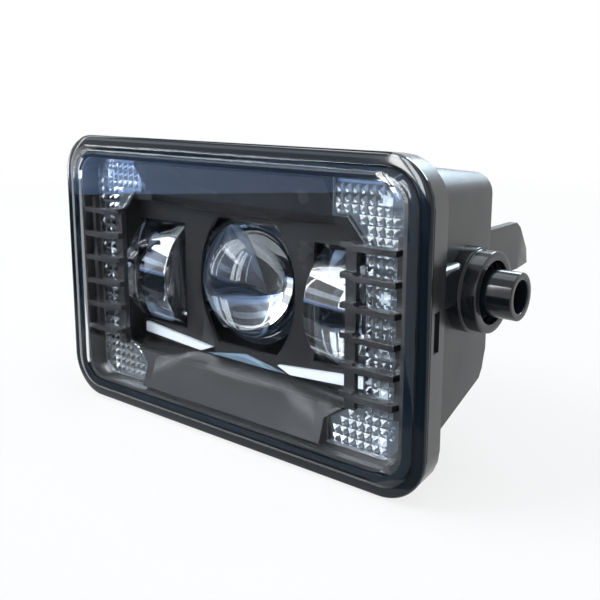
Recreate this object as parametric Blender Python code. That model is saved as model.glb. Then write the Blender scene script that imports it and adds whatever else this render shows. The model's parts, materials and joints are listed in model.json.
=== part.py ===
"""Rectangular truck fog lamp that tilts on two hollow side pins.

Every length is in metres. Outlines are drawn in the lamp's face frame: x to the
right as seen from behind the lamp's glass, y from the front rim rearwards, z up,
with 0 in the middle of the front rim. The scene's origin is the middle of the
pivot axis, about which the whole lamp tilts between its two pins.
"""

import math

import bmesh
import bpy
from mathutils import Matrix, Vector

mm = 0.001

# ---- Overall sizes and shared clearances ----
FACE_WIDTH = 148.4 * mm
FACE_HEIGHT = 94.0 * mm
FACE_CORNER = 14.0 * mm
SMALLEST_CORNER = 3.0 * mm
SEAT_GAP = 0.3 * mm
OVERLAP = 1.0 * mm
MERGE_DISTANCE = 0.001 * mm
ROUND_STEPS = 40
CORNER_STEPS = 6

# ---- Pivot ----
PIVOT_SETBACK = 28.0 * mm
PIVOT_RISE = 8.0 * mm
PIN_RADIUS = 6.65 * mm
PIN_BORE_RADIUS = 4.6 * mm
PIN_STAND_OUT = 7.8 * mm
PIN_SEATED = 13.0 * mm
PIN_CHAMFER = 0.7 * mm
PIN_SHOULDER_RADIUS = 8.6 * mm
PIN_SHOULDER_WIDTH = 1.5 * mm
COLLAR_RADIUS = 11.35 * mm
COLLAR_ROOT_RADIUS = 12.0 * mm
COLLAR_STAND_OUT = 8.7 * mm
COLLAR_ROOT_LENGTH = 4.2 * mm
COLLAR_RECESS_RADIUS = 8.95 * mm
COLLAR_RECESS_DEPTH = 5.0 * mm
COLLAR_BLIND_WALL = 2.6 * mm
WEB_HEIGHT = 12.0 * mm
WEB_STAND_OUT = 5.6 * mm
WEB_RISE = 3.0 * mm

# ---- Housing ----
WALL = 2.6 * mm
BAND_BACK = 10.6 * mm
BAND_DRAFT = math.radians(5)
BAND_EDGE = 0.8 * mm
TRAY_FLOOR = 9.1 * mm
TRAY_INSET_SIDE = 8.8 * mm
TRAY_INSET_TOP = 7.4 * mm
BOX_INSET = 3.7 * mm
BOX_BACK = 45.0 * mm
BOX_DRAFT_SIDE = math.radians(2.5)
BOX_DRAFT_TOP = math.radians(7.1)
BOX_EDGE = 1.2 * mm
SLOPE_TOP = -21.9 * mm
SLOPE_ROOM = 2.4 * mm
SLOPE_BACK = 40.0 * mm
HEEL_BACK = 42.0 * mm
HEEL_BOTTOM = -19.2 * mm
HEEL_STEP = 0.6 * mm
HEEL_STEP_TOP = -17.0 * mm
HEEL_TOP = -10.0 * mm
SLOT_HEIGHT = 11.0 * mm
SLOT_DEPTH = 3.2 * mm
SLOT_FRONT = 3.3 * mm
SLOT_MIDDLE = 1.0 * mm
SLOT_CUT = 1.6 * mm
EAR_BOTTOM = 7.4 * mm
EAR_TOP = 22.2 * mm
EAR_CREASE = 64.0 * mm
EAR_TIP = 75.0 * mm
EAR_SHOULDER = 12.2 * mm
EAR_THICKNESS = 2.6 * mm
EAR_TURN = 1.7 * mm
EAR_CHAMFER = 1.8 * mm

# ---- Outer lens ----
LENS_RISE = 2.3 * mm
LENS_WALL = 2.3 * mm
LENS_RIM_DEPTH = 1.4 * mm
LENS_RIM_EDGE = 0.7 * mm
LENS_STEP_INSET = 3.4 * mm
LENS_STEP = 0.7 * mm
LENS_FACE_INSET_SIDE = 7.4 * mm
LENS_FACE_INSET_TOP = 5.0 * mm
TONGUE_INSET = 2.8 * mm
TONGUE_WIDTH = 1.8 * mm
TONGUE_LENGTH = 3.6 * mm
SEAL_DEPTH = 0.9 * mm

# ---- Inner trim ----
TRIM_THICKNESS = 1.3 * mm
PLATE_DEPTH = 14.0 * mm
PLATE_BOTTOM = -25.2 * mm
BAND_LOW = 23.6 * mm
BAND_BOW = 1.9 * mm
BAND_LOW_DEPTH = 11.0 * mm
BAND_HIGH_DEPTH = 2.4 * mm
SHELF_LOW = -28.6 * mm
SHELF_BOW = 2.1 * mm
BOW_SPAN = 42.0 * mm
BOW_STEPS = 12
SHELF_LOW_DEPTH = 6.6 * mm
APRON_LOW_DEPTH = 2.6 * mm
TRIM_CLEARANCE = 0.6 * mm
CENTRE_WINDOW_HALF_WIDTH = 20.5 * mm
CENTRE_WINDOW_TOP = 21.7 * mm
CENTRE_WINDOW_BOTTOM = -20.3 * mm
CENTRE_WINDOW_SIDE_RADIUS = 32.0 * mm
SIDE_WINDOW_INNER = 27.5 * mm
SIDE_WINDOW_TOP = 18.2 * mm
SIDE_WINDOW_BOTTOM = -18.5 * mm
CHANNEL_INNER = 50.8 * mm

# ---- Ribs ----
RIB_COUNT = 6
RIB_PITCH = 8.42 * mm
RIB_HEIGHT = 1.7 * mm
RIB_JOG = 0.7 * mm
RIB_FRONT = 0.9 * mm
RIB_BACK = 4.8 * mm
RIB_INNER = 46.4 * mm
RIB_OUTER = 64.5 * mm
POST_WIDTH = 4.0 * mm
POST_FRONT = 3.0 * mm
RAIL_WIDTH = 1.8 * mm

# ---- Prism light guides ----
GUIDE_FACE = 6.1 * mm
GUIDE_BACK = 7.2 * mm
PRISM_HEIGHT = 1.0 * mm
PRISM_WIDTH = 2.68 * mm
PRISM_ROWS_PER_RIB = 3
PRISM_GROOVE = 0.06 * mm
GUIDE_OUTER = 62.6 * mm
GUIDE_TOP_INNER = 39.9 * mm
GUIDE_TOP_BLOCK = 28.3 * mm
GUIDE_BOTTOM_INNER = 38.7 * mm
GUIDE_BOTTOM_BLOCK = -31.2 * mm
GUIDE_TOP = 38.7 * mm
GUIDE_BOTTOM = -38.7 * mm
GUIDE_MARGIN = 0.4 * mm
GUIDE_CORNER = 5.0 * mm
BOARD_THICKNESS = 0.8 * mm
CHIP_HEIGHT = 0.5 * mm
CHIP_WIDTH = 3.0 * mm
CHIPS_PER_COLUMN = 6

# ---- Projector lenses, holders and reflectors ----
CENTRE_LENS_RADIUS = 19.3 * mm
CENTRE_LENS_RISE = 12.5 * mm
CENTRE_LENS_Z = 2.0 * mm
CENTRE_LENS_CUT_TOP = 20.6 * mm
CENTRE_LENS_CUT_BOTTOM = -15.5 * mm
LENS_SEAT = 16.0 * mm
LENS_FLANGE = 1.4 * mm
LENS_FLANGE_LIP = 2.0 * mm
SIDE_LENS_INNER = 29.5 * mm
SIDE_LENS_OUTER = 50.4 * mm
SIDE_LENS_HALF_HEIGHT = 17.4 * mm
SIDE_LENS_RISE = 10.0 * mm
SIDE_LENS_Z = -1.0 * mm
HOLDER_THICKNESS = 1.8 * mm
HOLDER_RIM = 1.6 * mm
REFLECTOR_WALL = 1.2 * mm
REFLECTOR_THROAT = 7.0 * mm
REFLECTOR_BACK = 39.2 * mm

# ---- Light board, heat sink and driver ----
LED_BOARD_HALF_WIDTH = 47.0 * mm
LED_BOARD_TOP = 12.0 * mm
LED_BOARD_BOTTOM = -6.8 * mm
LED_BOARD_THICKNESS = 1.6 * mm
EMITTER_RADIUS = 3.2 * mm
EMITTER_HEIGHT = 1.2 * mm
SINK_HALF_WIDTH = 57.0 * mm
SINK_TOP = 22.2 * mm
SINK_BOTTOM = -8.8 * mm
SINK_BASE = 4.0 * mm
SINK_PEDESTAL_HALF_WIDTH = 45.7 * mm
SINK_PEDESTAL_TOP = 17.7 * mm
SINK_PEDESTAL_BOTTOM = -5.2 * mm
FIN_COUNT = 12
FIN_PITCH = 8.0 * mm
FIN_THICKNESS = 2.0 * mm
FIN_LENGTH = 14.0 * mm
FIN_SLOPE = 8.0 * mm
FIN_TAPER = 0.7
GASKET_THICKNESS = 0.7 * mm
GASKET_WIDTH = 4.0 * mm
SCREW_X = 53.2 * mm
SCREW_ZS = (18.5 * mm, -4.5 * mm)
SCREW_RADIUS = 1.6 * mm
SCREW_HEAD_RADIUS = 3.1 * mm
SCREW_HEAD_HEIGHT = 2.2 * mm
SCREW_HEAD_CROWN = 0.7
SCREW_LENGTH = 12.0 * mm
BOSS_RADIUS = 3.7 * mm
BOSS_LENGTH = 9.0 * mm
DRIVER_HALF_WIDTH = 40.0 * mm
DRIVER_TOP = 34.0 * mm
DRIVER_BOTTOM = 18.6 * mm
DRIVER_FACE = 40.2 * mm
COIL_INNER = 18.0 * mm
COIL_OUTER = 30.0 * mm
COIL_BELOW = 5.0 * mm
COIL_ABOVE = 6.0 * mm
COIL_DEPTH = 6.0 * mm
CAPACITOR_XS = (-18.0 * mm, -30.0 * mm)
CAPACITOR_RADIUS = 3.6 * mm
CAPACITOR_LENGTH = 7.0 * mm

# ---- Connector and vent ----
PLUG_Z = 30.0 * mm
PLUG_WIDTH = 23.0 * mm
PLUG_HEIGHT = 13.0 * mm
PLUG_WALL = 2.0 * mm
PLUG_LENGTH = 16.0 * mm
PLUG_FLOOR = 3.2 * mm
PLUG_FLANGE = 2.0 * mm
PLUG_FLANGE_LIP = 2.0 * mm
PLUG_CORNER = 1.5 * mm
LATCH_START = 8.0 * mm
LATCH_CREST = 8.8 * mm
LATCH_END = 12.8 * mm
LATCH_HALF_WIDTH = 2.5 * mm
BLADE_WIDTH = 2.8 * mm
BLADE_THICKNESS = 0.8 * mm
BLADE_PITCH = 9.0 * mm
BLADE_LENGTH = 7.5 * mm
VENT_X = -36.0 * mm
VENT_RADIUS = 5.5 * mm
VENT_HEIGHT = 3.5 * mm
VENT_STEM_RADIUS = 2.4 * mm

# ---- Accent trim ----
ACCENT_FRONT = 12.4 * mm
FACET_HALF_WIDTH = 17.5 * mm
FACET_TOP = -21.9 * mm
FACET_BOTTOM = PLATE_BOTTOM + SEAT_GAP
FACET_EDGE = 0.3 * mm
FACET_FRONT_WIDTH = 0.72
FACET_FRONT_HEIGHT = 0.6
WING_INNER = 14.5 * mm
WING_OUTER = 47.0 * mm
WING_INNER_TOP = -22.4 * mm
WING_OUTER_TOP = -19.2 * mm
WING_TAPER = 5.0 * mm
WING_HEIGHT = 2.0 * mm
WING_OUTER_HEIGHT = 3.4 * mm

HALF_WIDTH = FACE_WIDTH / 2
HALF_HEIGHT = FACE_HEIGHT / 2
SLOPE_BOTTOM = PLATE_BOTTOM - TRIM_THICKNESS - WALL - SLOPE_ROOM
SIDES = (("right", 1), ("left", -1))


# ---- Materials ----
def finish(name, colour, roughness, metallic=0.0, transmission=0.0):
    """A Principled material with the piece's colour, roughness and metallic value."""
    material = bpy.data.materials.new(name)
    material.use_nodes = True
    shader = material.node_tree.nodes["Principled BSDF"]
    shader.inputs["Base Color"].default_value = (*colour, 1.0)
    shader.inputs["Roughness"].default_value = roughness
    shader.inputs["Metallic"].default_value = metallic
    shader.inputs["Transmission Weight"].default_value = transmission
    material.diffuse_color = (*colour, 1.0)
    return material


def make_finishes():
    return {
        "clear_cover": finish("clear_cover", (0.93, 0.95, 0.97), 0.03, 0.0, 1.0),
        "clear_optic": finish("clear_optic", (0.88, 0.92, 0.96), 0.02, 0.0, 1.0),
        "moulded_grey": finish("moulded_grey", (0.075, 0.075, 0.08), 0.38),
        "gloss_black": finish("gloss_black", (0.012, 0.014, 0.018), 0.18),
        "trim_black": finish("trim_black", (0.04, 0.04, 0.042), 0.25),
        "bright_trim": finish("bright_trim", (0.72, 0.74, 0.77), 0.22, 0.9),
        "blue_grey_trim": finish("blue_grey_trim", (0.09, 0.13, 0.17), 0.25, 0.5),
        "mirror": finish("mirror", (0.85, 0.86, 0.88), 0.06, 1.0),
        "seal_rubber": finish("seal_rubber", (0.02, 0.02, 0.02), 0.8),
        "cast_aluminium": finish("cast_aluminium", (0.10, 0.10, 0.11), 0.5, 0.7),
        "circuit_board": finish("circuit_board", (0.75, 0.76, 0.74), 0.5),
        "driver_green": finish("driver_green", (0.02, 0.12, 0.06), 0.5),
        "screw_steel": finish("screw_steel", (0.55, 0.55, 0.57), 0.3, 1.0),
        "terminal_brass": finish("terminal_brass", (0.70, 0.52, 0.22), 0.3, 1.0),
    }


# ---- Outlines ----
def arc(centre, radius, start, end, steps):
    """Points on a circle from one angle to another, in radians."""
    angles = [start + (end - start) * i / steps for i in range(steps + 1)]
    return [(centre[0] + radius * math.cos(a), centre[1] + radius * math.sin(a)) for a in angles]


def rounded_rectangle(left, bottom, right, top, radius):
    """A rectangle with round corners, anticlockwise from the right side's foot."""
    corners = (
        ((right - radius, bottom + radius), -math.pi / 2),
        ((right - radius, top - radius), 0.0),
        ((left + radius, top - radius), math.pi / 2),
        ((left + radius, bottom + radius), math.pi),
    )
    outline = []
    for centre, start in corners:
        outline += arc(centre, radius, start, start + math.pi / 2, CORNER_STEPS)
    return outline


def rectangle(left, bottom, right, top):
    return [(left, bottom), (right, bottom), (right, top), (left, top)]


def mirrored(outline, side):
    """The outline on the right side (1) or flipped to the left (-1)."""
    return [(side * u, v) for u, v in outline]


def corner_offset(before, here, after, distance):
    """The point at a corner of a line that was moved to its left by a distance."""
    into = (Vector(here) - Vector(before)).normalized()
    out = (Vector(after) - Vector(here)).normalized()
    left = Vector((-into.y - out.y, into.x + out.x))
    return tuple(Vector(here) + left * (2 * distance / left.length_squared))


def inset_outline(outline, distance):
    """An anticlockwise outline moved inwards, with mitred corners."""
    before = outline[-1:] + outline[:-1]
    after = outline[1:] + outline[:1]
    return [corner_offset(b, h, a, distance) for b, h, a in zip(before, outline, after)]


def thickened(line, thickness):
    """A strip of even thickness on the left of an open line."""
    before = [(2 * line[0][0] - line[1][0], 2 * line[0][1] - line[1][1])] + line[:-1]
    after = line[1:] + [(2 * line[-1][0] - line[-2][0], 2 * line[-1][1] - line[-2][1])]
    moved = [corner_offset(b, h, a, thickness) for b, h, a in zip(before, line, after)]
    return line + moved[::-1]


# ---- Solids ----
def add_object(name, mesh, material, smooth=False):
    """Turns a bmesh into an object of the lamp, its faces pointing outwards."""
    bmesh.ops.recalc_face_normals(mesh, faces=mesh.faces)
    if mesh.calc_volume(signed=True) < 0:
        bmesh.ops.reverse_faces(mesh, faces=mesh.faces)
    data = bpy.data.meshes.new(name)
    mesh.to_mesh(data)
    mesh.free()
    if smooth:
        data.shade_smooth()
        data.set_sharp_from_angle(angle=math.radians(35))
    if material:
        data.materials.append(material)
    piece = bpy.data.objects.new(name, data)
    bpy.context.scene.collection.objects.link(piece)
    return piece


def spot(axis, along, u, v):
    """The point at a distance along one axis, with its place across that axis."""
    return {"x": (along, u, v), "y": (u, along, v), "z": (u, v, along)}[axis]


def loft_mesh(sections, axis="y", closed=False):
    """Extrudes an outline from one section to the next; all have as many points."""
    mesh = bmesh.new()
    outline, along = sections[0]
    ring = [mesh.verts.new(spot(axis, along, u, v)) for u, v in outline]
    if not closed:
        mesh.faces.new(ring)
    else:
        for pair in zip(ring, ring[1:] + ring[:1]):
            mesh.edges.new(pair)
    for outline, along in sections[1:] + sections[:1] * closed:
        edges = [mesh.edges.get(pair) for pair in zip(ring, ring[1:] + ring[:1])]
        made = bmesh.ops.extrude_edge_only(mesh, edges=edges)["geom"]
        twins = {tuple(item.co): item for item in made if isinstance(item, bmesh.types.BMVert)}
        ring = [twins[tuple(vertex.co)] for vertex in ring]
        for vertex, (u, v) in zip(ring, outline):
            vertex.co = spot(axis, along, u, v)
    if not closed:
        mesh.faces.new(ring)
    bmesh.ops.remove_doubles(mesh, verts=mesh.verts, dist=MERGE_DISTANCE)
    return mesh


def prism(name, outline, axis, start, end, material=None, smooth=False):
    """An outline drawn across one axis and extruded along it from start to end."""
    return add_object(name, loft_mesh([(outline, start), (outline, end)], axis), material, smooth)


def loft(name, sections, material=None, axis="y", closed=False, smooth=False):
    return add_object(name, loft_mesh(sections, axis, closed), material, smooth)


def turned_mesh(profile, axis, centre, steps=ROUND_STEPS):
    """A profile of (along, radius) points spun about the x or the y axis.

    A profile that starts on the axis makes a solid, and any other makes a ring.
    """
    mesh = bmesh.new()
    points = [mesh.verts.new((along, 0.0, radius)) for along, radius in profile]
    pairs = list(zip(points, points[1:]))
    if profile[0][1] > 0:
        pairs.append((points[-1], points[0]))
    edges = [mesh.edges.new(pair) for pair in pairs]
    bmesh.ops.spin(
        mesh, geom=points + edges, cent=(0, 0, 0), axis=(1, 0, 0), angle=2 * math.pi, steps=steps, use_merge=True
    )
    bmesh.ops.remove_doubles(mesh, verts=mesh.verts, dist=MERGE_DISTANCE)
    if axis == "y":
        bmesh.ops.rotate(mesh, verts=mesh.verts, matrix=Matrix.Rotation(math.pi / 2, 3, "Z"))
    bmesh.ops.translate(mesh, vec=centre, verts=mesh.verts)
    return mesh


def turned(name, profile, axis, centre, material=None, steps=ROUND_STEPS):
    return add_object(name, turned_mesh(profile, axis, centre, steps), material, smooth=True)


def rod(name, start, end, radius, centre, steps=24):
    """A plain round helper along y."""
    return turned(name, [(start, 0.0), (start, radius), (end, radius), (end, 0.0)], "y", centre, None, steps)


def combine(piece, helper, operation):
    """Joins, cuts or crosses a piece with a helper, which stays out of the lamp."""
    modifier = piece.modifiers.new(helper.name, "BOOLEAN")
    modifier.operation = operation
    modifier.object = helper
    helper.hide_render = True
    helper.display_type = "WIRE"
    helper.parent = piece
    return piece


def join(piece, helper):
    return combine(piece, helper, "UNION")


def cut(piece, helper):
    return combine(piece, helper, "DIFFERENCE")


def cross(piece, helper):
    return combine(piece, helper, "INTERSECT")


def face_ring(inset_side, inset_top, depth):
    """A rounded rectangle set in from the lamp's own outline, at a depth behind the rim."""
    radius = max(FACE_CORNER - inset_top, SMALLEST_CORNER)
    half_width = HALF_WIDTH - inset_side
    half_height = HALF_HEIGHT - inset_top
    return rounded_rectangle(-half_width, -half_height, half_width, half_height, radius), depth


# ---- Outer lens and its seal ----
def make_outer_lens(material):
    """The clear cover: a raised face, a stepped rim and a tongue for the housing's groove."""
    tongue_end = LENS_RIM_DEPTH + TONGUE_LENGTH
    tongue_inner = TONGUE_INSET + TONGUE_WIDTH
    inner_side = LENS_FACE_INSET_SIDE + LENS_WALL
    inner_top = LENS_FACE_INSET_TOP + LENS_WALL
    sections = [
        face_ring(LENS_FACE_INSET_SIDE, LENS_FACE_INSET_TOP, -LENS_RISE),
        face_ring(LENS_STEP_INSET, LENS_STEP_INSET, -LENS_STEP),
        face_ring(LENS_STEP_INSET - LENS_STEP / 2, LENS_STEP_INSET - LENS_STEP / 2, 0.0),
        face_ring(LENS_RIM_EDGE, LENS_RIM_EDGE, 0.0),
        face_ring(0.0, 0.0, LENS_RIM_EDGE),
        face_ring(0.0, 0.0, LENS_RIM_DEPTH),
        face_ring(TONGUE_INSET, TONGUE_INSET, LENS_RIM_DEPTH),
        face_ring(TONGUE_INSET, TONGUE_INSET, tongue_end),
        face_ring(tongue_inner, tongue_inner, tongue_end),
        face_ring(tongue_inner, tongue_inner, LENS_RIM_DEPTH),
        face_ring(inner_side - LENS_WALL, inner_top - LENS_WALL / 2, LENS_RIM_DEPTH),
        face_ring(inner_side, inner_top, LENS_WALL - LENS_RISE),
    ]
    return loft("outer_lens", sections, material, smooth=True)


def groove_ring(clearance, start, end):
    """The four sections of a ring that runs along the lens tongue, wider by a clearance."""
    outer = TONGUE_INSET - clearance
    inner = TONGUE_INSET + TONGUE_WIDTH + clearance
    return [
        face_ring(outer, outer, start),
        face_ring(outer, outer, end),
        face_ring(inner, inner, end),
        face_ring(inner, inner, start),
    ]


def make_lens_seal(material):
    start = LENS_RIM_DEPTH + TONGUE_LENGTH + SEAT_GAP
    return loft("lens_seal", groove_ring(0.0, start, start + SEAL_DEPTH), material, closed=True, smooth=True)


# ---- Housing ----
def box_inset(depth, draft=BOX_DRAFT_SIDE):
    """How far the drafted box stands in from the lamp's outline at a depth."""
    return BOX_INSET + (depth - TRAY_FLOOR) * math.tan(draft)


def box_ring(depth, inset):
    """The drafted box's outline at a depth, set in further by an inset."""
    return face_ring(box_inset(depth) + inset, box_inset(depth, BOX_DRAFT_TOP) + inset, depth)


def box_sections(front, wall):
    """The box's outer surface, or its inner one where wall is the wall's thickness."""
    back = BOX_BACK - wall
    return [
        box_ring(front, wall),
        box_ring(back - BOX_EDGE, wall),
        box_ring(back, wall + BOX_EDGE),
    ]


def side_profile(front):
    """The box seen from its side: a sloped underside, a stepped heel and a straight back."""
    beyond = 2 * BOX_BACK
    return [
        (front, SLOPE_BOTTOM),
        (BAND_BACK, SLOPE_BOTTOM),
        (SLOPE_BACK, SLOPE_TOP),
        (HEEL_BACK, HEEL_BOTTOM),
        (HEEL_BACK + HEEL_STEP, HEEL_STEP_TOP),
        (BOX_BACK, HEEL_TOP),
        (beyond, HEEL_TOP),
        (beyond, FACE_HEIGHT),
        (front, FACE_HEIGHT),
    ]


def side_wall_x(depth):
    """Half the box's width at a depth."""
    return HALF_WIDTH - box_inset(depth)


def collar_face_x():
    return side_wall_x(PIVOT_SETBACK) + COLLAR_STAND_OUT


def pin_inner_x():
    return collar_face_x() - COLLAR_RECESS_DEPTH - PIN_SEATED


def make_collar_core(name, side):
    """The room for the collar's hollow, cut from the box before the collar is joined on."""
    face = collar_face_x()
    floor = face - COLLAR_RECESS_DEPTH - OVERLAP
    narrow = PIN_RADIUS + COLLAR_BLIND_WALL / 2
    wide = (COLLAR_RECESS_RADIUS + COLLAR_RADIUS) / 2
    profile = [(pin_inner_x(), 0.0), (pin_inner_x(), narrow), (floor, narrow), (floor, wide),
               (face + OVERLAP, wide), (face + OVERLAP, 0.0)]
    return turned(name, mirrored(profile, side), "x", (0, PIVOT_SETBACK, PIVOT_RISE))


def make_collar(name, side):
    """The side collar with the recess in its face and the blind bore that the pin turns in."""
    face = collar_face_x()
    floor = face - COLLAR_RECESS_DEPTH
    root = face - COLLAR_STAND_OUT + COLLAR_ROOT_LENGTH
    bore_end = pin_inner_x() - SEAT_GAP
    boss = PIN_RADIUS + COLLAR_BLIND_WALL
    wall = side_wall_x(PIVOT_SETBACK) - WALL / 2
    profile = [
        (bore_end - COLLAR_BLIND_WALL, 0.0),
        (bore_end - COLLAR_BLIND_WALL, boss),
        (wall, boss),
        (wall, COLLAR_ROOT_RADIUS),
        (root, COLLAR_ROOT_RADIUS),
        (root, COLLAR_RADIUS),
        (face - PIN_CHAMFER, COLLAR_RADIUS),
        (face, COLLAR_RADIUS - PIN_CHAMFER),
        (face, COLLAR_RECESS_RADIUS),
        (floor, COLLAR_RECESS_RADIUS),
        (floor, PIN_RADIUS + SEAT_GAP),
        (bore_end, PIN_RADIUS + SEAT_GAP),
        (bore_end, 0.0),
    ]
    return turned(name, mirrored(profile, side), "x", (0, PIVOT_SETBACK, PIVOT_RISE))


def make_web(name, side):
    """The flat rib that carries the collar from the flange band."""
    middle = PIVOT_RISE + WEB_RISE
    outer = side_wall_x(BAND_BACK) + WEB_STAND_OUT
    outline = mirrored([(side_wall_x(BOX_BACK), BAND_BACK - OVERLAP), (outer, BAND_BACK - OVERLAP),
                        (outer, PIVOT_SETBACK - COLLAR_RADIUS / 2), (side_wall_x(BOX_BACK), PIVOT_SETBACK)], side)
    return prism(name, outline, "z", middle - WEB_HEIGHT / 2, middle + WEB_HEIGHT / 2)


def ear_outline(bottom, middle, top):
    """The ear seen from its side, by how far back its bottom, its shoulder and its top corner reach."""
    front = BOX_BACK - WALL / 2
    return [
        (front, EAR_BOTTOM),
        (bottom, EAR_BOTTOM),
        (middle, EAR_SHOULDER),
        (top, EAR_TOP - EAR_CHAMFER),
        (EAR_CREASE - EAR_CHAMFER, EAR_TOP),
        (front, EAR_TOP),
    ]


def make_ear(name, side):
    """A rear ear that carries the side wall on, creased where its end turns inwards."""
    outer = side_wall_x(BOX_BACK)
    crease = ear_outline(EAR_CREASE, EAR_CREASE + EAR_CHAMFER / 4, EAR_CREASE + EAR_CHAMFER / 2)
    end = ear_outline(EAR_TIP, EAR_TIP - EAR_CHAMFER / 2, EAR_CREASE + EAR_CHAMFER)
    sections = [
        (crease, side * outer),
        (end, side * (outer - EAR_TURN)),
        (end, side * (outer - EAR_THICKNESS)),
    ]
    return loft(name, sections, axis="x")


def make_snap_slot(name, side):
    wall = HALF_WIDTH - SLOT_CUT
    outline = mirrored([(wall, SLOT_FRONT), (wall + 2 * SLOT_CUT, SLOT_FRONT),
                        (wall + 2 * SLOT_CUT, SLOT_FRONT + SLOT_DEPTH), (wall, SLOT_FRONT + SLOT_DEPTH)], side)
    return prism(name, outline, "z", SLOT_MIDDLE - SLOT_HEIGHT / 2, SLOT_MIDDLE + SLOT_HEIGHT / 2)


def screw_places():
    return [(side * SCREW_X, z) for _, side in SIDES for z in SCREW_ZS]


def make_housing(material):
    """The moulded housing: flange band, drafted box, collars with their webs, and ears."""
    lens_seat = LENS_RIM_DEPTH + SEAT_GAP
    band_back_inset = (BAND_BACK - lens_seat) * math.tan(BAND_DRAFT)
    housing = loft(
        "housing",
        [
            face_ring(0.0, 0.0, lens_seat),
            face_ring(band_back_inset, band_back_inset, BAND_BACK - BAND_EDGE),
            face_ring(band_back_inset + BAND_EDGE, band_back_inset + BAND_EDGE, BAND_BACK),
        ],
        material,
        smooth=True,
    )
    box = loft("housing_box", box_sections(BAND_BACK - OVERLAP, 0.0), smooth=True)
    profile = side_profile(TRAY_FLOOR)
    cross(box, prism("box_profile", profile, "x", -HALF_WIDTH, HALF_WIDTH))
    join(housing, box)
    tray = loft(
        "tray",
        [
            face_ring(TRAY_INSET_SIDE, TRAY_INSET_TOP, -OVERLAP),
            face_ring(TRAY_INSET_SIDE, TRAY_INSET_TOP, TRAY_FLOOR),
        ],
    )
    cut(housing, tray)
    cavity = loft("cavity", box_sections(TRAY_FLOOR - OVERLAP, WALL))
    inner_profile = inset_outline(side_profile(TRAY_FLOOR - OVERLAP - 2 * WALL), WALL)
    cross(cavity, prism("cavity_profile", inner_profile, "x", -HALF_WIDTH, HALF_WIDTH))
    cut(housing, cavity)
    groove_end = LENS_RIM_DEPTH + TONGUE_LENGTH + SEAL_DEPTH + 2 * SEAT_GAP
    cut(housing, loft("lens_groove", groove_ring(SEAT_GAP, 0.0, groove_end), closed=True))
    for label, side in SIDES:
        join(housing, make_web(f"web_{label}", side))
        cut(housing, make_collar_core(f"collar_core_{label}", side))
        join(housing, make_collar(f"collar_{label}", side))
        join(housing, make_ear(f"ear_{label}", side))
        cut(housing, make_snap_slot(f"snap_slot_{label}", side))
    inner_back = BOX_BACK - WALL
    for number, (x, z) in enumerate(screw_places(), 1):
        join(housing, rod(f"boss_{number}", inner_back - BOSS_LENGTH, BOX_BACK - SEAT_GAP, BOSS_RADIUS, (x, 0, z)))
        hole_end = BOX_BACK - SCREW_LENGTH + SINK_BASE + GASKET_THICKNESS
        cut(housing, rod(f"boss_hole_{number}", hole_end, BOX_BACK + OVERLAP, SCREW_RADIUS + SEAT_GAP, (x, 0, z)))
    window = rectangle(
        -SINK_PEDESTAL_HALF_WIDTH - SEAT_GAP,
        SINK_PEDESTAL_BOTTOM - SEAT_GAP,
        SINK_PEDESTAL_HALF_WIDTH + SEAT_GAP,
        SINK_PEDESTAL_TOP + SEAT_GAP,
    )
    cut(housing, prism("sink_window", window, "y", inner_back - OVERLAP, BOX_BACK + OVERLAP))
    plug = plug_outline(-PLUG_FLANGE_LIP - PLUG_WALL / 2 + SEAT_GAP)
    cut(housing, prism("plug_hole", plug, "y", inner_back - OVERLAP, BOX_BACK + OVERLAP))
    vent = rod("vent_hole", inner_back - OVERLAP, BOX_BACK + OVERLAP, VENT_STEM_RADIUS + SEAT_GAP, (VENT_X, 0, PLUG_Z))
    cut(housing, vent)
    return housing


# ---- Pivot pins ----
def make_pivot_pin(label, side, material):
    """A hollow pin with a shoulder that turns against the floor of the collar's recess."""
    inner = pin_inner_x()
    outer = collar_face_x() + PIN_STAND_OUT
    shoulder = collar_face_x() - COLLAR_RECESS_DEPTH + SEAT_GAP
    profile = [
        (inner, PIN_BORE_RADIUS),
        (inner, PIN_RADIUS - PIN_CHAMFER),
        (inner + PIN_CHAMFER, PIN_RADIUS),
        (shoulder, PIN_RADIUS),
        (shoulder, PIN_SHOULDER_RADIUS),
        (shoulder + PIN_SHOULDER_WIDTH, PIN_SHOULDER_RADIUS),
        (shoulder + PIN_SHOULDER_WIDTH, PIN_RADIUS),
        (outer - PIN_CHAMFER, PIN_RADIUS),
        (outer, PIN_RADIUS - PIN_CHAMFER),
        (outer, PIN_BORE_RADIUS),
    ]
    return turned(f"pivot_bush_{label}", mirrored(profile, side), "x", (0, 0, 0), material)


# ---- Inner trim ----
def centre_window_outline():
    """A window with flat top and bottom and sides that bow outwards."""
    middle = (CENTRE_WINDOW_TOP + CENTRE_WINDOW_BOTTOM) / 2
    half_height = (CENTRE_WINDOW_TOP - CENTRE_WINDOW_BOTTOM) / 2
    spread = math.asin(min(half_height / CENTRE_WINDOW_SIDE_RADIUS, 1.0))
    right = (CENTRE_WINDOW_HALF_WIDTH - CENTRE_WINDOW_SIDE_RADIUS, middle)
    left = (-right[0], middle)
    side_steps = 2 * CORNER_STEPS
    outline = arc(right, CENTRE_WINDOW_SIDE_RADIUS, -spread, spread, side_steps)
    outline += arc(left, CENTRE_WINDOW_SIDE_RADIUS, math.pi - spread, math.pi + spread, side_steps)
    return outline


def bow(x, amount):
    """How far a bowed edge of the trim stands off its middle height at x."""
    return amount * min(abs(x) / BOW_SPAN, 1.0) ** 2


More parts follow.
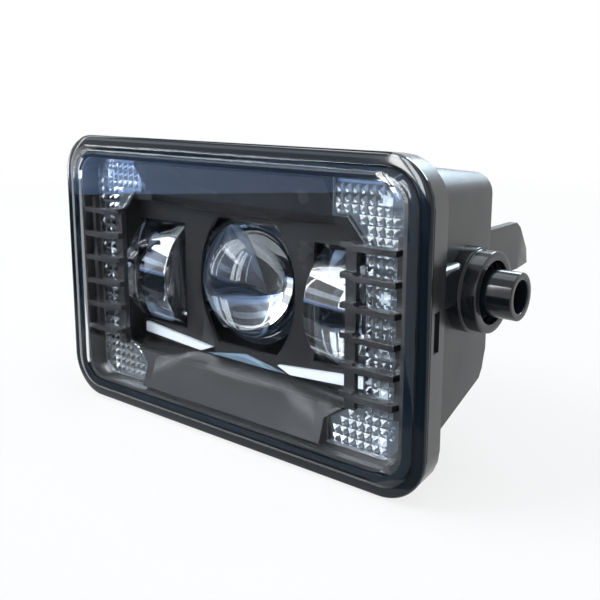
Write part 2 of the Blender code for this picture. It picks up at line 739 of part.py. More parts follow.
def trim_line(x, edge):
    """The front of the trim seen from its side, cut at x: band, plate, shelf and apron."""
    band_low = BAND_LOW + bow(x, BAND_BOW)
    return [
        (BAND_HIGH_DEPTH, edge),
        (BAND_LOW_DEPTH, band_low),
        (PLATE_DEPTH, band_low - TRIM_CLEARANCE),
        (PLATE_DEPTH, PLATE_BOTTOM),
        (SHELF_LOW_DEPTH, SHELF_LOW + bow(x, SHELF_BOW)),
        (APRON_LOW_DEPTH, -edge),
    ]


def make_trim_bezel(material):
    """The trim behind the glass: one bent sheet with three windows, and a tray for each light guide."""
    high = HALF_HEIGHT - TRAY_INSET_TOP - TRIM_CLEARANCE
    low = -high
    edge = high - TRIM_THICKNESS / 2
    outer = CHANNEL_INNER + TRIM_THICKNESS
    steps = [-BOW_SPAN + 2 * BOW_SPAN * step / BOW_STEPS for step in range(BOW_STEPS + 1)]
    sections = [(thickened(trim_line(x, edge), TRIM_THICKNESS), x) for x in [-outer, *steps, outer]]
    bezel = loft("trim_bezel", sections, material, axis="x")
    bezel.modifiers.new("flat_triangles", "TRIANGULATE")
    end_low = BAND_LOW + BAND_BOW
    back = PLATE_DEPTH + TRIM_THICKNESS
    cut(bezel, prism("centre_window", centre_window_outline(), "y", PLATE_DEPTH - OVERLAP, back + OVERLAP))
    backing_back = TRAY_FLOOR + TRIM_THICKNESS
    far = HALF_WIDTH - TRAY_INSET_SIDE - TRIM_CLEARANCE
    top_inner = GUIDE_TOP_INNER - GUIDE_MARGIN
    bottom_inner = GUIDE_BOTTOM_INNER - GUIDE_MARGIN
    for label, side in SIDES:
        window = rectangle(SIDE_WINDOW_INNER, SIDE_WINDOW_BOTTOM, CHANNEL_INNER, SIDE_WINDOW_TOP)
        cut(bezel, prism(f"side_window_{label}", mirrored(window, side), "y", PLATE_DEPTH - OVERLAP, back + OVERLAP))
        top_pocket = [
            (top_inner, high + OVERLAP),
            (top_inner, GUIDE_TOP_BLOCK - GUIDE_MARGIN),
            (HALF_WIDTH, GUIDE_TOP_BLOCK - GUIDE_MARGIN),
            (HALF_WIDTH, high + OVERLAP),
        ]
        cut(bezel, prism(f"top_pocket_{label}", mirrored(top_pocket, side), "y", -OVERLAP, TRAY_FLOOR))
        bottom_pocket = [
            (bottom_inner, low - OVERLAP),
            (bottom_inner, GUIDE_BOTTOM_BLOCK),
            (RIB_INNER, PLATE_BOTTOM),
            (HALF_WIDTH, PLATE_BOTTOM),
            (HALF_WIDTH, low - OVERLAP),
        ]
        cut(bezel, prism(f"bottom_pocket_{label}", mirrored(bottom_pocket, side), "y", -OVERLAP, TRAY_FLOOR))
        backing = [
            (far, PLATE_BOTTOM),
            (far, high - GUIDE_CORNER),
            (far - GUIDE_CORNER, high),
            (top_inner - TRIM_THICKNESS, high),
            (top_inner - TRIM_THICKNESS, end_low),
            (CHANNEL_INNER, end_low),
            (CHANNEL_INNER, PLATE_BOTTOM),
        ]
        join(bezel, prism(f"backing_{label}", mirrored(backing, side), "y", TRAY_FLOOR, backing_back))
        channel = rectangle(CHANNEL_INNER, TRAY_FLOOR + TRIM_THICKNESS / 2, outer, back - TRIM_THICKNESS / 2)
        join(bezel, prism(f"channel_{label}", mirrored(channel, side), "z", PLATE_BOTTOM, end_low - TRIM_CLEARANCE))
        band_cheek = [(BAND_HIGH_DEPTH + OVERLAP, high), (backing_back, end_low + OVERLAP), (backing_back, high)]
        start, end = sorted((side * (top_inner - TRIM_THICKNESS), side * top_inner))
        join(bezel, prism(f"band_cheek_{label}", band_cheek, "x", start, end))
        apron_back = TRAY_FLOOR - SEAT_GAP
        apron_cheek = [(APRON_LOW_DEPTH + OVERLAP, low), (apron_back, low), (apron_back, SHELF_LOW - OVERLAP),
                       (SHELF_LOW_DEPTH + OVERLAP, SHELF_LOW - OVERLAP)]
        start, end = sorted((side * (bottom_inner - TRIM_THICKNESS), side * bottom_inner))
        join(bezel, prism(f"apron_cheek_{label}", apron_cheek, "x", start, end))
    return bezel


# ---- Ribs over the light guides ----
def make_rib_comb(label, side, material):
    """Six ribs on an upright post and an outer rail."""
    post_outer = RIB_INNER + POST_WIDTH
    half_span = RIB_PITCH * (RIB_COUNT - 1) / 2
    end = half_span + RIB_PITCH / 2
    post = rectangle(RIB_INNER + RIB_JOG / 2, -end, post_outer, half_span)
    comb = prism(f"rib_comb_{label}", mirrored(post, side), "y", POST_FRONT, RIB_BACK, material)
    rail = rectangle(RIB_OUTER - RAIL_WIDTH, -end, RIB_OUTER, end)
    join(comb, prism(f"rail_{label}", mirrored(rail, side), "y", RIB_BACK - OVERLAP / 2, TRAY_FLOOR - SEAT_GAP))
    half = RIB_HEIGHT / 2
    for number in range(RIB_COUNT):
        z = half_span - number * RIB_PITCH
        rib = [
            (RIB_INNER, z - half + RIB_JOG),
            (post_outer - RIB_JOG, z - half + RIB_JOG),
            (post_outer, z - half),
            (RIB_OUTER - RIB_JOG / 2, z - half),
            (RIB_OUTER - RIB_JOG / 2, z + half),
            (post_outer + RIB_JOG, z + half),
            (post_outer, z + half + RIB_JOG),
            (RIB_INNER, z + half + RIB_JOG),
        ]
        join(comb, prism(f"rib_{label}_{number + 1}", mirrored(rib, side), "y", RIB_FRONT, RIB_BACK - OVERLAP / 4))
    return comb


# ---- Prism light guides ----
def guide_outline():
    """The C-shaped guide of the right side, anticlockwise."""
    shoulder = RIB_PITCH * RIB_COUNT / 2 - RIB_PITCH / 2
    foot = -shoulder - RIB_PITCH / 2
    column = CHANNEL_INNER + GUIDE_MARGIN
    corner = GUIDE_CORNER
    outline = arc((GUIDE_OUTER - corner, GUIDE_TOP - corner), corner, 0.0, math.pi / 2, CORNER_STEPS)
    outline += [
        (GUIDE_TOP_INNER, GUIDE_TOP),
        (GUIDE_TOP_INNER, GUIDE_TOP_BLOCK),
        (GUIDE_TOP_INNER + corner, GUIDE_TOP_BLOCK),
        (column, shoulder),
        (column, foot),
        (RIB_INNER, PLATE_BOTTOM - OVERLAP),
        (GUIDE_BOTTOM_INNER, GUIDE_BOTTOM_BLOCK),
        (GUIDE_BOTTOM_INNER, GUIDE_BOTTOM),
    ]
    outline += arc((GUIDE_OUTER - corner, GUIDE_BOTTOM + corner), corner, -math.pi / 2, 0.0, CORNER_STEPS)
    return outline


def inside(outline, x, z):
    """Whether a point lies inside an outline, by the crossings of a ray to its right."""
    crossings = 0
    for (x0, z0), (x1, z1) in zip(outline, outline[1:] + outline[:1]):
        if (z0 > z) != (z1 > z) and x < x0 + (x1 - x0) * (z - z0) / (z1 - z0):
            crossings += 1
    return crossings % 2 == 1


def make_prism_field(name, side):
    """A grid of square pyramids over every cell that lies wholly on the guide."""
    outline = inset_outline(guide_outline(), GUIDE_MARGIN / 2)
    row_height = RIB_PITCH / PRISM_ROWS_PER_RIB
    columns = int((GUIDE_OUTER - GUIDE_BOTTOM_INNER) / PRISM_WIDTH)
    rows = int((GUIDE_TOP - GUIDE_BOTTOM) / row_height)
    mesh = bmesh.new()
    bmesh.ops.create_grid(mesh, x_segments=columns, y_segments=rows, size=0.5)
    bmesh.ops.scale(mesh, vec=(columns * PRISM_WIDTH, rows * row_height, 1.0), verts=mesh.verts)
    bmesh.ops.rotate(mesh, verts=mesh.verts, matrix=Matrix.Rotation(math.pi / 2, 3, "X"))
    middle = GUIDE_OUTER - GUIDE_MARGIN - columns * PRISM_WIDTH / 2
    bmesh.ops.translate(mesh, vec=(middle, GUIDE_FACE + PRISM_GROOVE, 0.0), verts=mesh.verts)
    outside = [face for face in mesh.faces if not all(inside(outline, v.co.x, v.co.z) for v in face.verts)]
    bmesh.ops.delete(mesh, geom=outside, context="FACES")
    cells = list(mesh.faces)
    back = bmesh.ops.extrude_face_region(mesh, geom=cells, use_keep_orig=True)["geom"]
    moved = [item for item in back if isinstance(item, bmesh.types.BMVert)]
    bmesh.ops.translate(mesh, vec=(0, (GUIDE_BACK - GUIDE_FACE) / 2, 0), verts=moved)
    bmesh.ops.recalc_face_normals(mesh, faces=mesh.faces)
    bmesh.ops.poke(mesh, faces=cells, offset=PRISM_HEIGHT)
    if side < 0:
        bmesh.ops.scale(mesh, vec=(-1, 1, 1), verts=mesh.verts)
    return add_object(name, mesh, None)


def make_light_guide(label, side, material):
    guide = prism(f"light_guide_{label}", mirrored(guide_outline(), side), "y", GUIDE_FACE, GUIDE_BACK, material)
    join(guide, make_prism_field(f"prisms_{label}", side))
    return guide


def make_guide_board(label, side, material):
    """The board behind a light guide, with its row of chips."""
    face = GUIDE_BACK + SEAT_GAP + CHIP_HEIGHT
    back = face + BOARD_THICKNESS
    outline = inset_outline(guide_outline(), GUIDE_MARGIN)
    board = prism(f"guide_board_{label}", mirrored(outline, side), "y", face, back, material)
    column = (CHANNEL_INNER + GUIDE_OUTER) / 2
    span = GUIDE_TOP - GUIDE_BOTTOM - 2 * GUIDE_CORNER
    half = CHIP_WIDTH / 2
    for number in range(CHIPS_PER_COLUMN):
        z = GUIDE_BOTTOM + GUIDE_CORNER + span * number / (CHIPS_PER_COLUMN - 1)
        chip = rectangle(column - half, z - half, column + half, z + half)
        join(board, prism(f"chip_{label}_{number + 1}", mirrored(chip, side), "y", face - CHIP_HEIGHT,
                          face + BOARD_THICKNESS / 2))
    return board


# ---- Projector lenses ----
def dome_profile(radius, rise, seat):
    """The (depth, radius) points of a spherical dome in front of a seat, from its tip."""
    sphere = (radius**2 + rise**2) / (2 * rise)
    spread = math.asin(radius / sphere) if rise <= sphere else math.pi - math.asin(radius / sphere)
    steps = 2 * CORNER_STEPS
    centre = seat - rise + sphere
    angles = [spread * i / steps for i in range(steps + 1)]
    return [(centre - sphere * math.cos(a), sphere * math.sin(a)) for a in angles]


def make_centre_lens(material):
    """The domed centre lens, cut flat above and below, with a flange behind the trim plate."""
    flange_radius = CENTRE_LENS_RADIUS + LENS_FLANGE_LIP
    profile = dome_profile(CENTRE_LENS_RADIUS, CENTRE_LENS_RISE, LENS_SEAT)
    profile += [
        (LENS_SEAT, flange_radius),
        (LENS_SEAT + LENS_FLANGE, flange_radius),
        (LENS_SEAT + LENS_FLANGE, 0.0),
    ]
    lens = turned("centre_lens", profile, "y", (0, 0, CENTRE_LENS_Z), material)
    block = rectangle(-FACE_WIDTH, CENTRE_LENS_CUT_BOTTOM, FACE_WIDTH, CENTRE_LENS_CUT_TOP)
    cross(lens, prism("lens_flats", block, "y", -PLATE_DEPTH, BOX_BACK))
    return lens


def make_side_lens(label, side, material):
    """A half-barrel lens: one arched profile, the same along its whole width."""
    half = SIDE_LENS_HALF_HEIGHT
    sphere = (half**2 + SIDE_LENS_RISE**2) / (2 * SIDE_LENS_RISE)
    spread = math.asin(half / sphere)
    centre = (LENS_SEAT - SIDE_LENS_RISE + sphere, SIDE_LENS_Z)
    outline = arc(centre, sphere, math.pi - spread, math.pi + spread, 3 * CORNER_STEPS)
    top = SIDE_LENS_Z + half + LENS_FLANGE_LIP
    bottom = SIDE_LENS_Z - half - LENS_FLANGE_LIP
    back = LENS_SEAT + LENS_FLANGE
    outline += [(LENS_SEAT, bottom), (back, bottom), (back, top), (LENS_SEAT, top)]
    start, end = sorted((side * SIDE_LENS_INNER, side * SIDE_LENS_OUTER))
    return prism(f"side_lens_{label}", outline, "x", start, end, material, smooth=True)


def make_centre_holder(material):
    """The ring that clamps the centre lens to the trim plate."""
    start = LENS_SEAT + LENS_FLANGE + SEAT_GAP
    end = start + HOLDER_THICKNESS
    outer = CENTRE_LENS_RADIUS + LENS_FLANGE_LIP
    inner = CENTRE_LENS_RADIUS - HOLDER_RIM
    ring = [(start, inner), (start, outer), (end, outer), (end, inner)]
    return turned("centre_lens_holder", ring, "y", (0, 0, CENTRE_LENS_Z), material)


def make_side_holder(label, side, material):
    """The frame that clamps a side lens to the trim plate."""
    start = LENS_SEAT + LENS_FLANGE + SEAT_GAP
    end = start + HOLDER_THICKNESS
    half = SIDE_LENS_HALF_HEIGHT
    reach = half + LENS_FLANGE_LIP
    outer = rectangle(SIDE_LENS_INNER, SIDE_LENS_Z - reach, SIDE_LENS_OUTER, SIDE_LENS_Z + reach)
    holder = prism(f"side_lens_holder_{label}", mirrored(outer, side), "y", start, end, material)
    inner = rectangle(
        SIDE_LENS_INNER + HOLDER_RIM,
        SIDE_LENS_Z - half + HOLDER_RIM,
        SIDE_LENS_OUTER - HOLDER_RIM,
        SIDE_LENS_Z + half - HOLDER_RIM,
    )
    cut(holder, prism(f"holder_hole_{label}", mirrored(inner, side), "y", start - OVERLAP, end + OVERLAP))
    return holder


def reflector_front():
    return LENS_SEAT + LENS_FLANGE + HOLDER_THICKNESS + 2 * SEAT_GAP


def make_centre_reflector(material):
    """A bowl whose radius grows with the square root of the distance from its throat."""
    front = reflector_front()
    steps = 2 * CORNER_STEPS
    mouth = CENTRE_LENS_RADIUS - HOLDER_RIM
    inner = []
    for i in range(steps + 1):
        share = i / steps
        depth = front + (REFLECTOR_BACK - front) * share
        inner.append((depth, REFLECTOR_THROAT + (mouth - REFLECTOR_THROAT) * math.sqrt(1 - share)))
    outer = [(depth, radius + REFLECTOR_WALL) for depth, radius in inner]
    return turned("centre_reflector", inner + outer[::-1], "y", (0, 0, CENTRE_LENS_Z), material)


def make_side_reflector(label, side, material):
    """A square trough that narrows from the side lens to its emitter."""
    front = reflector_front()
    middle = side * (SIDE_LENS_INNER + SIDE_LENS_OUTER) / 2
    mouth_width = (SIDE_LENS_OUTER - SIDE_LENS_INNER) / 2 - HOLDER_RIM
    mouth_height = SIDE_LENS_HALF_HEIGHT - HOLDER_RIM
    sections = []
    for wall, ends in ((0.0, (0, 1, 2, 3)), (REFLECTOR_WALL, (3, 2, 1, 0))):
        for step in ends:
            share = math.sqrt(1 - step / 3)
            half_width = REFLECTOR_THROAT + (mouth_width - REFLECTOR_THROAT) * share + wall
            half_height = REFLECTOR_THROAT + (mouth_height - REFLECTOR_THROAT) * share + wall
            outline = rectangle(middle - half_width, SIDE_LENS_Z - half_height, middle + half_width,
                                SIDE_LENS_Z + half_height)
            sections.append((outline, front + (REFLECTOR_BACK - front) * step / 3))
    return loft(f"side_reflector_{label}", sections, material, closed=True)


# ---- Light board, heat sink and driver ----
def make_led_board(material):
    """The board on the heat sink's pedestal, with an emitter behind each lens."""
    face = REFLECTOR_BACK + SEAT_GAP
    outline = rectangle(-LED_BOARD_HALF_WIDTH, LED_BOARD_BOTTOM, LED_BOARD_HALF_WIDTH, LED_BOARD_TOP)
    board = prism("led_board", outline, "y", face, face + LED_BOARD_THICKNESS, material)
    side_x = (SIDE_LENS_INNER + SIDE_LENS_OUTER) / 2
    for number, (x, z) in enumerate(((0.0, CENTRE_LENS_Z), (side_x, SIDE_LENS_Z), (-side_x, SIDE_LENS_Z)), 1):
        emitter = rod(f"emitter_{number}", face - EMITTER_HEIGHT, face + LED_BOARD_THICKNESS / 2, EMITTER_RADIUS,
                      (x, 0, z), 16)
        join(board, emitter)
    return board


def sink_base_front():
    return BOX_BACK + GASKET_THICKNESS + 2 * SEAT_GAP


def make_heat_sink(material):
    """An extruded comb of upright fins on a base, with a pedestal through the housing's back."""
    front = sink_base_front()
    base_back = front + SINK_BASE
    outline = [(SINK_HALF_WIDTH, base_back), (SINK_HALF_WIDTH, front), (-SINK_HALF_WIDTH, front),
               (-SINK_HALF_WIDTH, base_back)]
    for number in range(FIN_COUNT):
        x = (number - (FIN_COUNT - 1) / 2) * FIN_PITCH
        half = FIN_THICKNESS / 2
        tip = base_back + FIN_LENGTH
        outline += [(x - half, base_back), (x - half * FIN_TAPER, tip), (x + half * FIN_TAPER, tip), (x + half, base_back)]
    sink = prism("heat_sink", outline[::-1], "z", SINK_BOTTOM, SINK_TOP, material)
    pedestal = rectangle(-SINK_PEDESTAL_HALF_WIDTH, SINK_PEDESTAL_BOTTOM, SINK_PEDESTAL_HALF_WIDTH, SINK_PEDESTAL_TOP)
    board_back = REFLECTOR_BACK + LED_BOARD_THICKNESS + 2 * SEAT_GAP
    join(sink, prism("pedestal", pedestal, "y", board_back, front + OVERLAP))
    tip = base_back + FIN_LENGTH
    for label, z, inwards in (("top", SINK_TOP, -1), ("bottom", SINK_BOTTOM, 1)):
        wedge = [
            (tip + OVERLAP, z + inwards * (FIN_SLOPE + OVERLAP)),
            (tip + OVERLAP, z - inwards * OVERLAP),
            (tip - FIN_SLOPE - OVERLAP, z - inwards * OVERLAP),
        ]
        cut(sink, prism(f"fin_slope_{label}", wedge, "x", -SINK_HALF_WIDTH, SINK_HALF_WIDTH))
    for number, (x, z) in enumerate(screw_places(), 1):
        cut(sink, rod(f"sink_hole_{number}", front - OVERLAP, base_back + OVERLAP, SCREW_RADIUS + SEAT_GAP, (x, 0, z)))
    return sink


def make_sink_gasket(material):
    """The flat gasket between the heat sink and the housing's back."""
    start = BOX_BACK + SEAT_GAP
    end = start + GASKET_THICKNESS
    edge = SEAT_GAP
    outer = rectangle(-SINK_HALF_WIDTH + edge, SINK_BOTTOM + edge, SINK_HALF_WIDTH - edge, SINK_TOP - edge)
    gasket = prism("heat_sink_gasket", outer, "y", start, end, material)
    inner = rectangle(-SINK_PEDESTAL_HALF_WIDTH - edge, SINK_PEDESTAL_BOTTOM - edge, SINK_PEDESTAL_HALF_WIDTH + edge,
                      SINK_PEDESTAL_TOP + edge)
    cut(gasket, prism("gasket_hole", inner, "y", start - OVERLAP, end + OVERLAP))
    for number, (x, z) in enumerate(screw_places(), 1):
        cut(gasket, rod(f"gasket_hole_{number}", start - OVERLAP, end + OVERLAP, SCREW_RADIUS + SEAT_GAP, (x, 0, z)))
    return gasket


def make_sink_screw(number, x, z, material):
    """A pan-head screw through the heat sink's base into a housing boss."""
    seat = sink_base_front() + SINK_BASE + SEAT_GAP
    tip = seat - SCREW_LENGTH
    profile = [
        (tip, 0.0),
        (tip + SCREW_RADIUS, SCREW_RADIUS),
        (seat, SCREW_RADIUS),
        (seat, SCREW_HEAD_RADIUS),
        (seat + SCREW_HEAD_HEIGHT / 2, SCREW_HEAD_RADIUS),
        (seat + SCREW_HEAD_HEIGHT, SCREW_HEAD_RADIUS * SCREW_HEAD_CROWN),
        (seat + SCREW_HEAD_HEIGHT, 0.0),
    ]
    return turned(f"heat_sink_screw_{number}", profile, "y", (x, 0, z), material, 20)


def make_driver_board(material):
    """The driver board on the housing's back wall, with its coil and two capacitors."""
    back = BOX_BACK - WALL - 2 * SEAT_GAP
    outline = rectangle(-DRIVER_HALF_WIDTH, DRIVER_BOTTOM, DRIVER_HALF_WIDTH, DRIVER_TOP)
    board = prism("driver_board", outline, "y", DRIVER_FACE, back, material)
    middle = (DRIVER_TOP + DRIVER_BOTTOM) / 2
    deep = (DRIVER_FACE + back) / 2
    coil = rectangle(COIL_INNER, middle - COIL_BELOW, COIL_OUTER, middle + COIL_ABOVE)
    join(board, prism("coil", coil, "y", DRIVER_FACE - COIL_DEPTH, deep))
    for number, x in enumerate(CAPACITOR_XS, 1):
        start = DRIVER_FACE - CAPACITOR_LENGTH
        join(board, rod(f"capacitor_{number}", start, deep, CAPACITOR_RADIUS, (x, 0, middle), 20))
    return board


# ---- Connector inlet and vent ----
def plug_outline(grow):
    """The connector's outline about its middle, wider by a margin each way."""
    half_width = PLUG_WIDTH / 2 + grow
    half_height = PLUG_HEIGHT / 2 + grow
    return rounded_rectangle(-half_width, PLUG_Z - half_height, half_width, PLUG_Z + half_height, PLUG_CORNER)


def blade_outline(x, grow):
    half_width = BLADE_WIDTH / 2 + grow
    half_height = BLADE_THICKNESS / 2 + grow
    return rectangle(x - half_width, PLUG_Z - half_height, x + half_width, PLUG_Z + half_height)


def make_connector_inlet(material):
    """A shrouded inlet on a flange, open to the rear, with a slot for each blade."""
    seat = BOX_BACK + SEAT_GAP
    mouth = seat + PLUG_LENGTH
    inlet = prism("connector_inlet", plug_outline(0.0), "y", seat, mouth, material)
    flange = plug_outline(PLUG_FLANGE_LIP / 2)
    join(inlet, prism("inlet_flange", flange, "y", seat, seat + PLUG_FLANGE))
    inner_end = BOX_BACK - WALL + SEAT_GAP
    join(inlet, prism("inlet_plug", plug_outline(-PLUG_FLANGE_LIP - PLUG_WALL / 2), "y", inner_end, seat + OVERLAP))
    cut(inlet, prism("inlet_socket", plug_outline(-PLUG_WALL), "y", seat + PLUG_FLOOR, mouth + OVERLAP))
    for number, side in enumerate((-1, 1), 1):
        slot = blade_outline(side * BLADE_PITCH / 2, SEAT_GAP)
        cut(inlet, prism(f"blade_slot_{number}", slot, "y", inner_end - OVERLAP, seat + PLUG_FLOOR + OVERLAP))
    latch = [(seat + LATCH_START, PLUG_Z + PLUG_HEIGHT / 2 - OVERLAP / 2),
             (seat + LATCH_END, PLUG_Z + PLUG_HEIGHT / 2 - OVERLAP / 2),
             (seat + LATCH_CREST, PLUG_Z + PLUG_HEIGHT / 2 + OVERLAP)]
    join(inlet, prism("inlet_latch", latch, "x", -LATCH_HALF_WIDTH, LATCH_HALF_WIDTH))
    return inlet


def make_terminal_blade(number, side, material):
    start = BOX_BACK - WALL
    end = BOX_BACK + PLUG_FLOOR + BLADE_LENGTH
    outline = blade_outline(side * BLADE_PITCH / 2, 0.0)
    return prism(f"terminal_blade_{number}", outline, "y", start, end, material)


def make_vent_cap(material):
    """A breather cap with a stem that snaps into the housing's back."""
    seat = BOX_BACK + SEAT_GAP
    stem_end = BOX_BACK - WALL - SEAT_GAP
    profile = [
        (stem_end, 0.0),
        (stem_end, VENT_STEM_RADIUS),
        (seat, VENT_STEM_RADIUS),
        (seat, VENT_RADIUS),
        (seat + VENT_HEIGHT - PIN_CHAMFER, VENT_RADIUS),
        (seat + VENT_HEIGHT, VENT_RADIUS - PIN_CHAMFER),
        (seat + VENT_HEIGHT, 0.0),
    ]
    return turned("vent_cap", profile, "y", (VENT_X, 0, PLUG_Z), material, 28)


# ---- Accents under the centre window ----
def make_accent_facet(material):
    """The low triangular facet, smaller at its front."""
    middle = FACET_BOTTOM + (FACET_TOP - FACET_BOTTOM) / 3
    full = [(-FACET_HALF_WIDTH, FACET_BOTTOM), (FACET_HALF_WIDTH, FACET_BOTTOM), (0.0, FACET_TOP)]
    small = [(x * FACET_FRONT_WIDTH, middle + (z - middle) * FACET_FRONT_HEIGHT) for x, z in full]
    back = PLATE_DEPTH - SEAT_GAP
    return loft("accent_facet", [(small, ACCENT_FRONT), (full, back - FACET_EDGE), (full, back)], material)


def make_accent_wing(label, side, material):
    """A bright strip that widens from the facet towards the ribs."""
    outline = [
        (WING_INNER, WING_INNER_TOP),
        (WING_INNER + WING_TAPER, WING_INNER_TOP - WING_HEIGHT),
        (WING_OUTER, WING_OUTER_TOP - WING_OUTER_HEIGHT),
        (WING_OUTER, WING_OUTER_TOP),
    ]
    back = PLATE_DEPTH - SEAT_GAP
    return prism(f"accent_wing_{label}", mirrored(outline, side), "y", ACCENT_FRONT, back, material)


# ---- Assembly ----
def add_empty(name, location, parent=None):
    empty = bpy.data.objects.new(name, None)
    empty.location = location
    empty.parent = parent
    bpy.context.scene.collection.objects.link(empty)
    return empty


def make_lamp(finishes):
    """Every piece that tilts with the lamp, drawn in the face frame."""
    pieces = [
        make_outer_lens(finishes["clear_cover"]),
        make_lens_seal(finishes["seal_rubber"]),
        make_housing(finishes["moulded_grey"]),
        make_trim_bezel(finishes["trim_black"]),
        make_centre_lens(finishes["clear_optic"]),
        make_centre_holder(finishes["gloss_black"]),
        make_centre_reflector(finishes["mirror"]),
        make_led_board(finishes["circuit_board"]),
        make_heat_sink(finishes["cast_aluminium"]),
        make_sink_gasket(finishes["seal_rubber"]),
        make_driver_board(finishes["driver_green"]),
        make_connector_inlet(finishes["gloss_black"]),
        make_vent_cap(finishes["gloss_black"]),
        make_accent_facet(finishes["blue_grey_trim"]),
    ]
    for label, side in SIDES:
        pieces += [
            make_rib_comb(label, side, finishes["gloss_black"]),
            make_light_guide(label, side, finishes["clear_optic"]),
            make_guide_board(label, side, finishes["circuit_board"]),
            make_side_lens(label, side, finishes["clear_optic"]),
            make_side_holder(label, side, finishes["gloss_black"]),
            make_side_reflector(label, side, finishes["mirror"]),
            make_accent_wing(label, side, finishes["bright_trim"]),
        ]
    for number, (x, z) in enumerate(screw_places(), 1):
        pieces.append(make_sink_screw(number, x, z, finishes["screw_steel"]))
    for number, side in enumerate((-1, 1), 1):
        pieces.append(make_terminal_blade(number, side, finishes["terminal_brass"]))
    return pieces


def main():
    for item in list(bpy.data.objects):
        bpy.data.objects.remove(item)
    finishes = make_finishes()
    pivot_axis = add_empty("pivot_axis", (0, 0, 0))
    lamp_face = add_empty("lamp_face", (0, -PIVOT_SETBACK, -PIVOT_RISE), pivot_axis)
    for piece in make_lamp(finishes):
        piece.parent = lamp_face
    for label, side in SIDES:
        make_pivot_pin(label, side, finishes["gloss_black"])


main()
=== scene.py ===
"""Finishes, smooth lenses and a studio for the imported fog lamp.

Lengths are in metres. Outlines are drawn in the lamp's face frame: x to the right,
y from the front rim rearwards and z up, with 0 in the middle of the front rim.
"""

import json
import math

import bmesh
import bpy
from bpy.props import FloatProperty, FloatVectorProperty, IntProperty, PointerProperty
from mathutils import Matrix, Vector


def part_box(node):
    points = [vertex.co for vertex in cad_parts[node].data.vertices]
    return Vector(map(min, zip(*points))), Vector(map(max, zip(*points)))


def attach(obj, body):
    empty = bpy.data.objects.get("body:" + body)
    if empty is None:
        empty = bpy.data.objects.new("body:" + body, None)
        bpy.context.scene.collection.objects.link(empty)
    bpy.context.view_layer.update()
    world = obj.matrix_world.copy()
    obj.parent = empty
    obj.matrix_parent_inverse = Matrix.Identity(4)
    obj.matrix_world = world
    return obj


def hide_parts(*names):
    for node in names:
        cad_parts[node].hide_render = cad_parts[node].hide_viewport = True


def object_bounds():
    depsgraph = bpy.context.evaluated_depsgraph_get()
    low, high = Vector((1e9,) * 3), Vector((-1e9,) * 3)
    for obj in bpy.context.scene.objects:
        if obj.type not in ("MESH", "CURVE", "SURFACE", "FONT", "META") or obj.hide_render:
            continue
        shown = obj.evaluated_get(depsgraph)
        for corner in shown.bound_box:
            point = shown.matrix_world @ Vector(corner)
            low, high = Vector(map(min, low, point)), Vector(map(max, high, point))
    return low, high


bl_info = {
    "name": "Fog lamp finishes",
    "version": (1, 0, 0),
    "blender": (4, 5, 0),
    "location": "View3D > Sidebar > Fog Lamp",
    "description": "Builds the fog lamp's finishes, lenses and studio around its packed model",
    "category": "Object",
}

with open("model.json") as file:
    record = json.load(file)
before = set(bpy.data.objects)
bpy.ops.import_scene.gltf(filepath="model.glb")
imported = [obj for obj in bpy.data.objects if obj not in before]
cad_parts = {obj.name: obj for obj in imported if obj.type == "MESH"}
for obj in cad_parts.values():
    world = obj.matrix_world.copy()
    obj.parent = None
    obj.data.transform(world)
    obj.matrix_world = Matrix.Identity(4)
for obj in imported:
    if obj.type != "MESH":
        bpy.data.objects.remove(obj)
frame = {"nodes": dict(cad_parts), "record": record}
CAD_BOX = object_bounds()

mm = 0.001
LAMP = "lamp"
PINS = "pivots"
SIDES = (("right", 1), ("left", -1))
FACE_ORIGIN = Vector((0.0, -28 * mm, -8 * mm))
BAND_BACK_Y = -17.4 * mm
COVER_LOW, COVER_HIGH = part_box("outer_lens")
HALF_WIDTH = (COVER_HIGH.x - COVER_LOW.x) / 2
HALF_HEIGHT = (COVER_HIGH.z - COVER_LOW.z) / 2

WELD = 0.002 * mm
HAIR = 1e-6

# The housing's box, collars and webs, as x, y and z in the part's frame
BOX_HALF_WIDTH = 70.43 * mm
BOX_DRAFT = math.radians(2.5)
FLAT_WEB_X = 76.03 * mm
WEB_MIDDLE_Z = 3 * mm
WEB_HALF_HEIGHT = 6 * mm
WEB_FRONT_Y = -18.35 * mm
WEB_BACK_Y = -7 * mm
WEB_INNER_X = 69 * mm
WEB_TOP_X = 73.33 * mm
COLLAR_INNER_X = 68.2 * mm
COLLAR_ROOT_X = 73.87 * mm
COLLAR_FACE_X = 78.40 * mm
COLLAR_RECESS_DEPTH = 5.0 * mm
SLEEVE_COVER = 0.05 * mm
SHOULDER_X = 73.67 * mm
SHOULDER_WIDTH = 1.5 * mm

# The lenses, in the face frame
LENS_SEAT = 16 * mm
LENS_FLANGE = 1.4 * mm
LENS_LIP = 2 * mm
SIDE_LENS_RISE = 10 * mm
SIDE_LENS_EDGE = 0.35 * mm
CENTRE_LENS_RADIUS = 19.3 * mm
CENTRE_LENS_RISE = 12.5 * mm
CENTRE_LENS_HEIGHT = 2 * mm
RIB_EDGE = 0.55 * mm
CHIP_FRONT_Y = -20.2 * mm

# The photo's size and the shift of its view, in pixels, and the camera's place
PHOTO_PIXELS = 600
PHOTO_SHIFT_PIXELS = -50
CAMERA_PLACE = Vector((172.82 * mm, -202.16 * mm, 53.84 * mm))
CAMERA_TARGET = Vector((32.755 * mm, -28 * mm, 10.416 * mm))
CAMERA_ROLL = math.radians(0.154)
SENSOR_WIDTH = 36.0

# The studio: what the lamps and strips point at, and where the floor and the cards lie
FACE_TARGET = (0, -28 * mm, 0)
FLOOR_SIZE = 4.0
FLOOR_GAP = 0.5 * mm
CARD_GAP = 1 * mm


